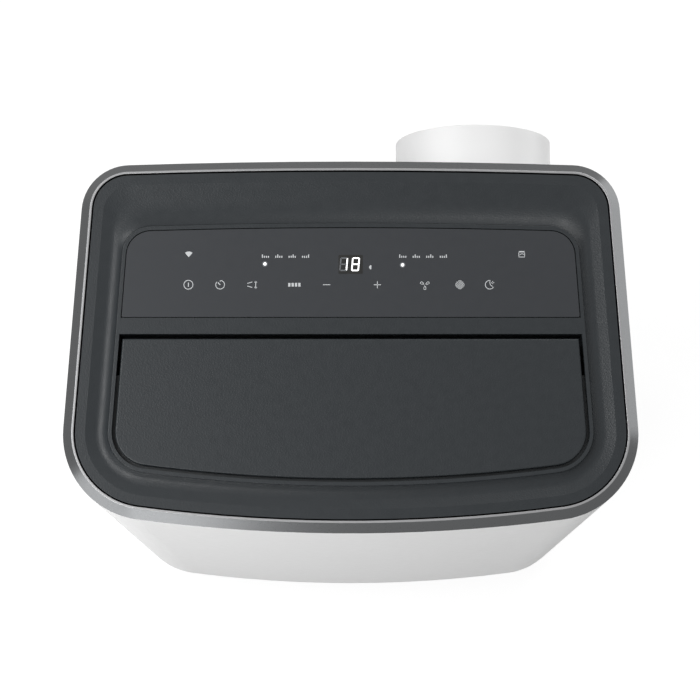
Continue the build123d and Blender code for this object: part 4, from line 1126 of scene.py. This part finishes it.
@dataclass
class CoilPack:
    """Heat exchanger: a pack of thin fins between two end plates, with tubes through them."""

    node: str
    slot: str = "fin_aluminium"
    fin_pitch: float = 2.0
    fin_skin: float = 0.35
    fin_inset: float = 1.5
    fin_strips: int = 4
    fin_crimp: float = 0.5
    plate_skin: float = 1.2
    plate_round: float = 0.4
    tube_pitch: float = 25.0
    tube_radius: float = 4.0
    tube_sides: int = 16
    tube_round: float = 0.5

    def build(self) -> None:
        """Build the fin pack in the place of its plain solid."""
        made = [self.fins(), self.plates(), self.tubes()]
        hand_over(join(made, f"{self.node}_pack"), FIN, "cabinet", self.slot, self.node)

    def fins(self) -> Object:
        """Make the row of corrugated fins from a single one.

        Returns:
            The fins.
        """
        low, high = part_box(self.node)
        pitch, inset = self.fin_pitch * MM, self.fin_inset * MM
        first = low.x + self.plate_skin * MM + pitch
        fin = new_box(
            f"{self.node}_fins",
            (first, low.y + inset, low.z + inset),
            (first + self.fin_skin * MM, high.y - inset, high.z - inset),
        )
        depth = high.y - low.y
        bpy.ops.object.mode_set(mode="EDIT")
        for strip in range(1, self.fin_strips):
            bpy.ops.mesh.select_all(action="SELECT")
            bpy.ops.mesh.bisect(plane_co=(0, low.y + depth * strip / self.fin_strips, 0), plane_no=(0, 1, 0))
        bpy.ops.object.mode_set(mode="OBJECT")
        for vertex in fin.data.vertices:
            if round((vertex.co.y - low.y) / depth * self.fin_strips) % 2:
                vertex.co.x += self.fin_crimp * MM
        repeat(fin, int((high.x - low.x - 2 * self.plate_skin * MM) / pitch) - 1, (pitch, 0, 0))
        return fin

    def plates(self) -> Object:
        """Make the two end plates from a single one.

        Returns:
            The plates.
        """
        low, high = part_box(self.node)
        skin = self.plate_skin * MM
        plate = new_box(f"{self.node}_plates", tuple(low), (low.x + skin, high.y, high.z))
        apply_modifier(plate, "BEVEL", width=self.plate_round * MM, segments=2)
        repeat(plate, 2, (high.x - low.x - skin, 0, 0))
        return plate

    def tubes(self) -> Object:
        """Make the straight tubes that run through the fins from a single one.

        Returns:
            The tubes.
        """
        low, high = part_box(self.node)
        pitch = self.tube_pitch * MM
        middle = (low + high) / 2
        clear_selection()
        bpy.ops.mesh.primitive_cylinder_add(
            vertices=self.tube_sides,
            radius=self.tube_radius * MM,
            depth=high.x - low.x,
            location=(middle.x, middle.y, low.z + pitch / 2),
            rotation=(0, math.radians(90), 0),
        )
        tube = bpy.context.object
        settle(tube)
        apply_modifier(tube, "BEVEL", width=self.tube_round * MM, segments=1, limit_method="ANGLE")
        repeat(tube, int((high.z - low.z) / pitch), (0, 0, pitch))
        return tube


@dataclass
class FilterNet:
    """Pull-out air filter: a stiff border with ribs and a fine net of crossed strands."""

    node: str
    body: str
    slot: str = "filter_grey"
    border: float = 7.0
    border_round: float = 0.7
    strand: float = 0.5
    strand_round: float = 0.15
    strand_start: float = 0.8
    pitch: float = 1.9
    ribs: int = 3
    rib_width: float = 2.4
    rib_front: float = 0.4
    rib_rear: float = 0.8
    rib_round: float = 0.4

    def build(self) -> None:
        """Build the filter in the place of its coarse solid."""
        made = [self.rim(), self.strands("upright", 0), self.strands("level", 2), self.rib_row()]
        screen = join(made, f"{self.node}_screen")
        hand_over(screen, NET, self.body, self.slot, self.node)

    def rib_row(self) -> Object:
        """Make the row of upright ribs from a single one.

        Returns:
            The ribs.
        """
        low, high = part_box(self.node)
        step = (high.x - low.x) / (self.ribs + 1)
        half, edge = self.rib_width * MM / 2, self.border * MM / 2
        rib = new_box(
            "rib",
            (low.x + step - half, low.y + self.rib_front * MM, low.z + edge),
            (low.x + step + half, high.y - self.rib_rear * MM, high.z - edge),
        )
        apply_modifier(rib, "BEVEL", width=self.rib_round * MM, segments=2)
        repeat(rib, self.ribs, (step, 0, 0))
        return rib

    def rim(self) -> Object:
        """Make the border by insetting and opening a plate.

        Returns:
            The border.
        """
        facing = 0.9
        low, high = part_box(self.node)
        plate = new_box("rim", tuple(low), tuple(high))
        make_active(plate)
        bpy.ops.object.mode_set(mode="EDIT")
        bpy.ops.mesh.select_mode(type="FACE")
        bpy.ops.object.mode_set(mode="OBJECT")
        for face in plate.data.polygons:
            face.select = abs(face.normal.y) > facing
        bpy.ops.object.mode_set(mode="EDIT")
        bpy.ops.mesh.inset(thickness=self.border * MM, use_individual=True)
        bpy.ops.mesh.bridge_edge_loops()
        bpy.ops.mesh.select_all(action="SELECT")
        bpy.ops.mesh.normals_make_consistent(inside=False)
        bpy.ops.object.mode_set(mode="OBJECT")
        apply_modifier(plate, "BEVEL", width=self.border_round * MM, segments=3, limit_method="ANGLE")
        return plate

    def strands(self, name: str, along: int) -> Object:
        """Make one direction of the net from a single strand.

        Args:
            name: Name of the strands.
            along: Axis across which the strands repeat, 0 for X and 2 for Z.

        Returns:
            All strands of that direction.
        """
        low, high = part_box(self.node)
        other = 2 - along
        pitch, half = self.pitch * MM, self.strand * MM / 2
        edge = self.border * MM * self.strand_start
        middle = (low.y + high.y) / 2
        start = [0.0, middle - half, 0.0]
        end = [0.0, middle + half, 0.0]
        start[along] = low[along] + edge
        end[along] = start[along] + 2 * half
        start[other] = low[other] + edge
        end[other] = high[other] - edge
        strand = new_box(name, tuple(start), tuple(end))
        apply_modifier(strand, "BEVEL", width=self.strand_round * MM, segments=1)
        step = [0.0, 0.0, 0.0]
        step[along] = pitch
        repeat(strand, int((high[along] - low[along] - 2 * edge) / pitch), tuple(step))
        return strand


@dataclass
class Casing:
    """White shells, silver ring, grips and the small pieces on the rear wall."""

    def build(self) -> None:
        """Dress the outside of the cabinet."""
        dress(CASING, "front_cover", "rear_cover", "upper_grille", "lower_grille")
        # The stub's lighter white is painted light.
        dress(STUB_PAINTED_LIGHT, "exhaust_adaptor", "exhaust_collar")
        # The ring's darker bevel is painted shade.
        dress(BEZEL_PAINTED_SHADE, "bezel_ring")
        dress(GRIP, "handle_cup_left", "handle_cup_right")
        dress(STEEL, "case_screws")
        dress(RUBBER, "cord_gland", "drain_cap_upper", "drain_cap_lower")
        dress(INNER_GREY, "drain_spouts")


@dataclass
class TopDeck:
    """Charcoal gutter, island, flap and touch panel on top of the cabinet."""

    def build(self) -> None:
        """Dress the top and draw the panel."""
        dress(TOP, "top_cover", "deck_frame", "air_flap")
        dress(PANEL, "control_panel")
        # The pins' near black is painted shade.
        dress(PIN_PAINTED_SHADE, "flap_pins")
        dress(INNER_BLACK, "flap_motor", "outlet_duct", "outlet_grille")
        dress(DISPLAY, "display_module")
        dress(BOARD, "control_board")
        ControlFace().build()


@dataclass
class Machine:
    """Cooling circuit, blowers and electrics inside the cabinet."""

    def build(self) -> None:
        """Dress the inside and build the fin packs and filters."""
        dress(COPPER, "coil_bends", "refrigerant_pipes")
        dress(ENAMEL, "compressor", "accumulator")
        dress(RUBBER, "compressor_mounts")
        dress(PAINT, "evaporator_blower_motor", "condenser_blower_motor")
        dress(STEEL, "evaporator_motor_shaft", "condenser_motor_shaft", "electrical_box")
        dress(INNER_BLACK, "evaporator_blower_wheel", "condenser_blower_wheel")
        dress(INNER_BLACK, "splash_motor", "splash_wheel")
        dress(INNER_GREY, "evaporator_blower_housing", "condenser_blower_housing", "exhaust_duct")
        dress(INNER_GREY, "middle_deck", "base_pan")
        CoilPack("evaporator_coil").build()
        CoilPack("condenser_coil").build()
        FilterNet("upper_filter", "upper_screen").build()
        FilterNet("lower_filter", "lower_screen", ribs=5).build()


@dataclass
class Castors:
    """Four swivel castors under the base."""

    def build(self) -> None:
        """Dress plates, forks, wheels and axles."""
        dress(STEEL, "castor_plates", *(f"castor_axle_{corner}" for corner in CORNERS))
        dress(FORK, *(f"castor_fork_{corner}" for corner in CORNERS))
        dress(TREAD, *(f"castor_wheel_{corner}" for corner in CORNERS))


# Studio


@dataclass(frozen=True)
class Softbox:
    """One large soft lamp."""

    name: str
    place: Place
    aim: Place
    width: float
    height: float
    power: float

    def build(self) -> None:
        """Add the lamp and turn it to its aim."""
        data = bpy.data.lights.new(self.name, "AREA")
        data.shape = "RECTANGLE"
        data.size = self.width
        data.size_y = self.height
        data.energy = self.power
        lamp = bpy.data.objects.new(self.name, data)
        lamp.location = self.place
        heading = Vector(self.aim) - Vector(self.place)
        lamp.rotation_euler = heading.to_track_quat("-Z", "Y").to_euler()
        bpy.context.scene.collection.objects.link(lamp)


@dataclass
class Studio:
    """Camera, soft light, white surroundings and floor."""

    lens: float = 116.52
    sensor: float = 36.0
    camera_place: Place = (-0.0006, FRONT_Y - 0.1611, 2.6669)
    camera_tilt: float = 9.379
    ambient: float = 0.15
    floor_side: float = 24.0
    floor_tone: float = 0.2
    floor_roughness: float = 0.9
    floor_glow: float = 0.87
    lamps: tuple[Softbox, ...] = (
        Softbox("key_overhead", (-1.1, 0.02, 2.2), (0.0, -0.03, 0.72), 0.8, 0.8, 20.0),
        Softbox("front_high", (-0.8, -1.0, 1.85), (-0.1, -0.1, 0.74), 0.6, 0.6, 13.0),
        Softbox("front_left", (-1.12, -1.45, 0.62), (0.0, -0.15, 0.6), 2.0, 0.55, 14.2),
        Softbox("front_strip", (-0.55, -2.05, 0.8), (0.0, -0.15, 0.7), 0.5, 0.4, 1.9),
        Softbox("right_side", (1.5, 0.68, 0.45), (0.2, 0.1, 0.6), 1.4, 0.9, 8.3),
        Softbox("left_rear", (-1.4, 1.1, 1.3), (0.1, 0.165, 0.55), 0.6, 0.6, 8.0),
        Softbox("rear_soft", (0.9, 1.5, 1.9), (0.1, 0.15, 0.6), 1.2, 0.8, 18.5),
    )

    def build(self) -> None:
        """Set up the whole studio."""
        bpy.context.scene.view_settings.view_transform = "Standard"
        self.camera()
        for lamp in self.lamps:
            lamp.build()
        self.world()
        self.floor()

    def camera(self) -> None:
        """Place the camera where the photograph was taken from."""
        data = bpy.data.cameras.new("camera")
        data.lens = self.lens
        data.sensor_width = self.sensor
        camera = bpy.data.objects.new("camera", data)
        camera.location = self.camera_place
        camera.rotation_euler = (math.radians(self.camera_tilt), 0, 0)
        bpy.context.scene.collection.objects.link(camera)
        bpy.context.scene.camera = camera

    def seen_rays(self, tree: NodeTree) -> NodeSocket:
        """Mask of the rays that show the surroundings.

        Args:
            tree: Node tree to add the nodes to.

        Returns:
            Socket that is 1 for camera, glossy and transmission rays.
        """
        path = add_node(tree, "ShaderNodeLightPath")
        total = path.outputs["Is Camera Ray"]
        for name in ("Is Glossy Ray", "Is Transmission Ray"):
            either = add_node(tree, "ShaderNodeMath", operation="MAXIMUM")
            wire(tree, (total, either.inputs[0]), (path.outputs[name], either.inputs[1]))
            total = either.outputs[0]
        return total

    def world(self) -> None:
        """White surroundings that light the object at a lower, even level."""
        world = bpy.data.worlds.new("studio")
        bpy.context.scene.world = world
        world.use_nodes = True
        tree = world.node_tree
        white = rgba((1.0, 1.0, 1.0))
        light = tree.nodes["Background"]
        light.inputs["Color"].default_value = white
        light.inputs["Strength"].default_value = self.ambient
        shown = add_node(tree, "ShaderNodeBackground", {"Color": white, "Strength": 1.0})
        mix = add_node(tree, "ShaderNodeMixShader")
        wire(
            tree,
            (self.seen_rays(tree), mix.inputs["Fac"]),
            (light.outputs[0], mix.inputs[1]),
            (shown.outputs[0], mix.inputs[2]),
            (mix.outputs[0], tree.nodes["World Output"].inputs["Surface"]),
        )

    def floor(self) -> None:
        """Pale floor that still takes the object's shadow."""
        clear_selection()
        bpy.ops.mesh.primitive_plane_add(size=self.floor_side)
        floor = bpy.context.object
        floor.name = "floor"
        material, shader = start_material("floor_white")
        tree = material.node_tree
        shader.inputs["Base Color"].default_value = rgba((self.floor_tone,) * 3)
        shader.inputs["Roughness"].default_value = self.floor_roughness
        shader.inputs["Specular IOR Level"].default_value = 0.0
        glow = add_node(tree, "ShaderNodeEmission", {"Strength": self.floor_glow})
        dark = add_node(tree, "ShaderNodeEmission", {"Strength": 0.0})
        shown = add_node(tree, "ShaderNodeMixShader")
        total = add_node(tree, "ShaderNodeAddShader")
        wire(
            tree,
            (self.seen_rays(tree), shown.inputs["Fac"]),
            (dark.outputs[0], shown.inputs[1]),
            (glow.outputs[0], shown.inputs[2]),
            (shader.outputs[0], total.inputs[0]),
            (shown.outputs[0], total.inputs[1]),
            (total.outputs[0], tree.nodes["Material Output"].inputs["Surface"]),
        )
        floor.data.materials.append(material)


def main() -> None:
    """Build the sub-assemblies in order, then the studio."""
    logging.basicConfig(level=logging.INFO, format="%(message)s")
    assemblies: tuple[type, ...] = (Casing, TopDeck, Machine, Castors, Studio)
    for assembly in assemblies:
        LOG.info("building %s", assembly.__name__)
        assembly().build()
    clear_selection()


if __name__ == "__main__":
    main()
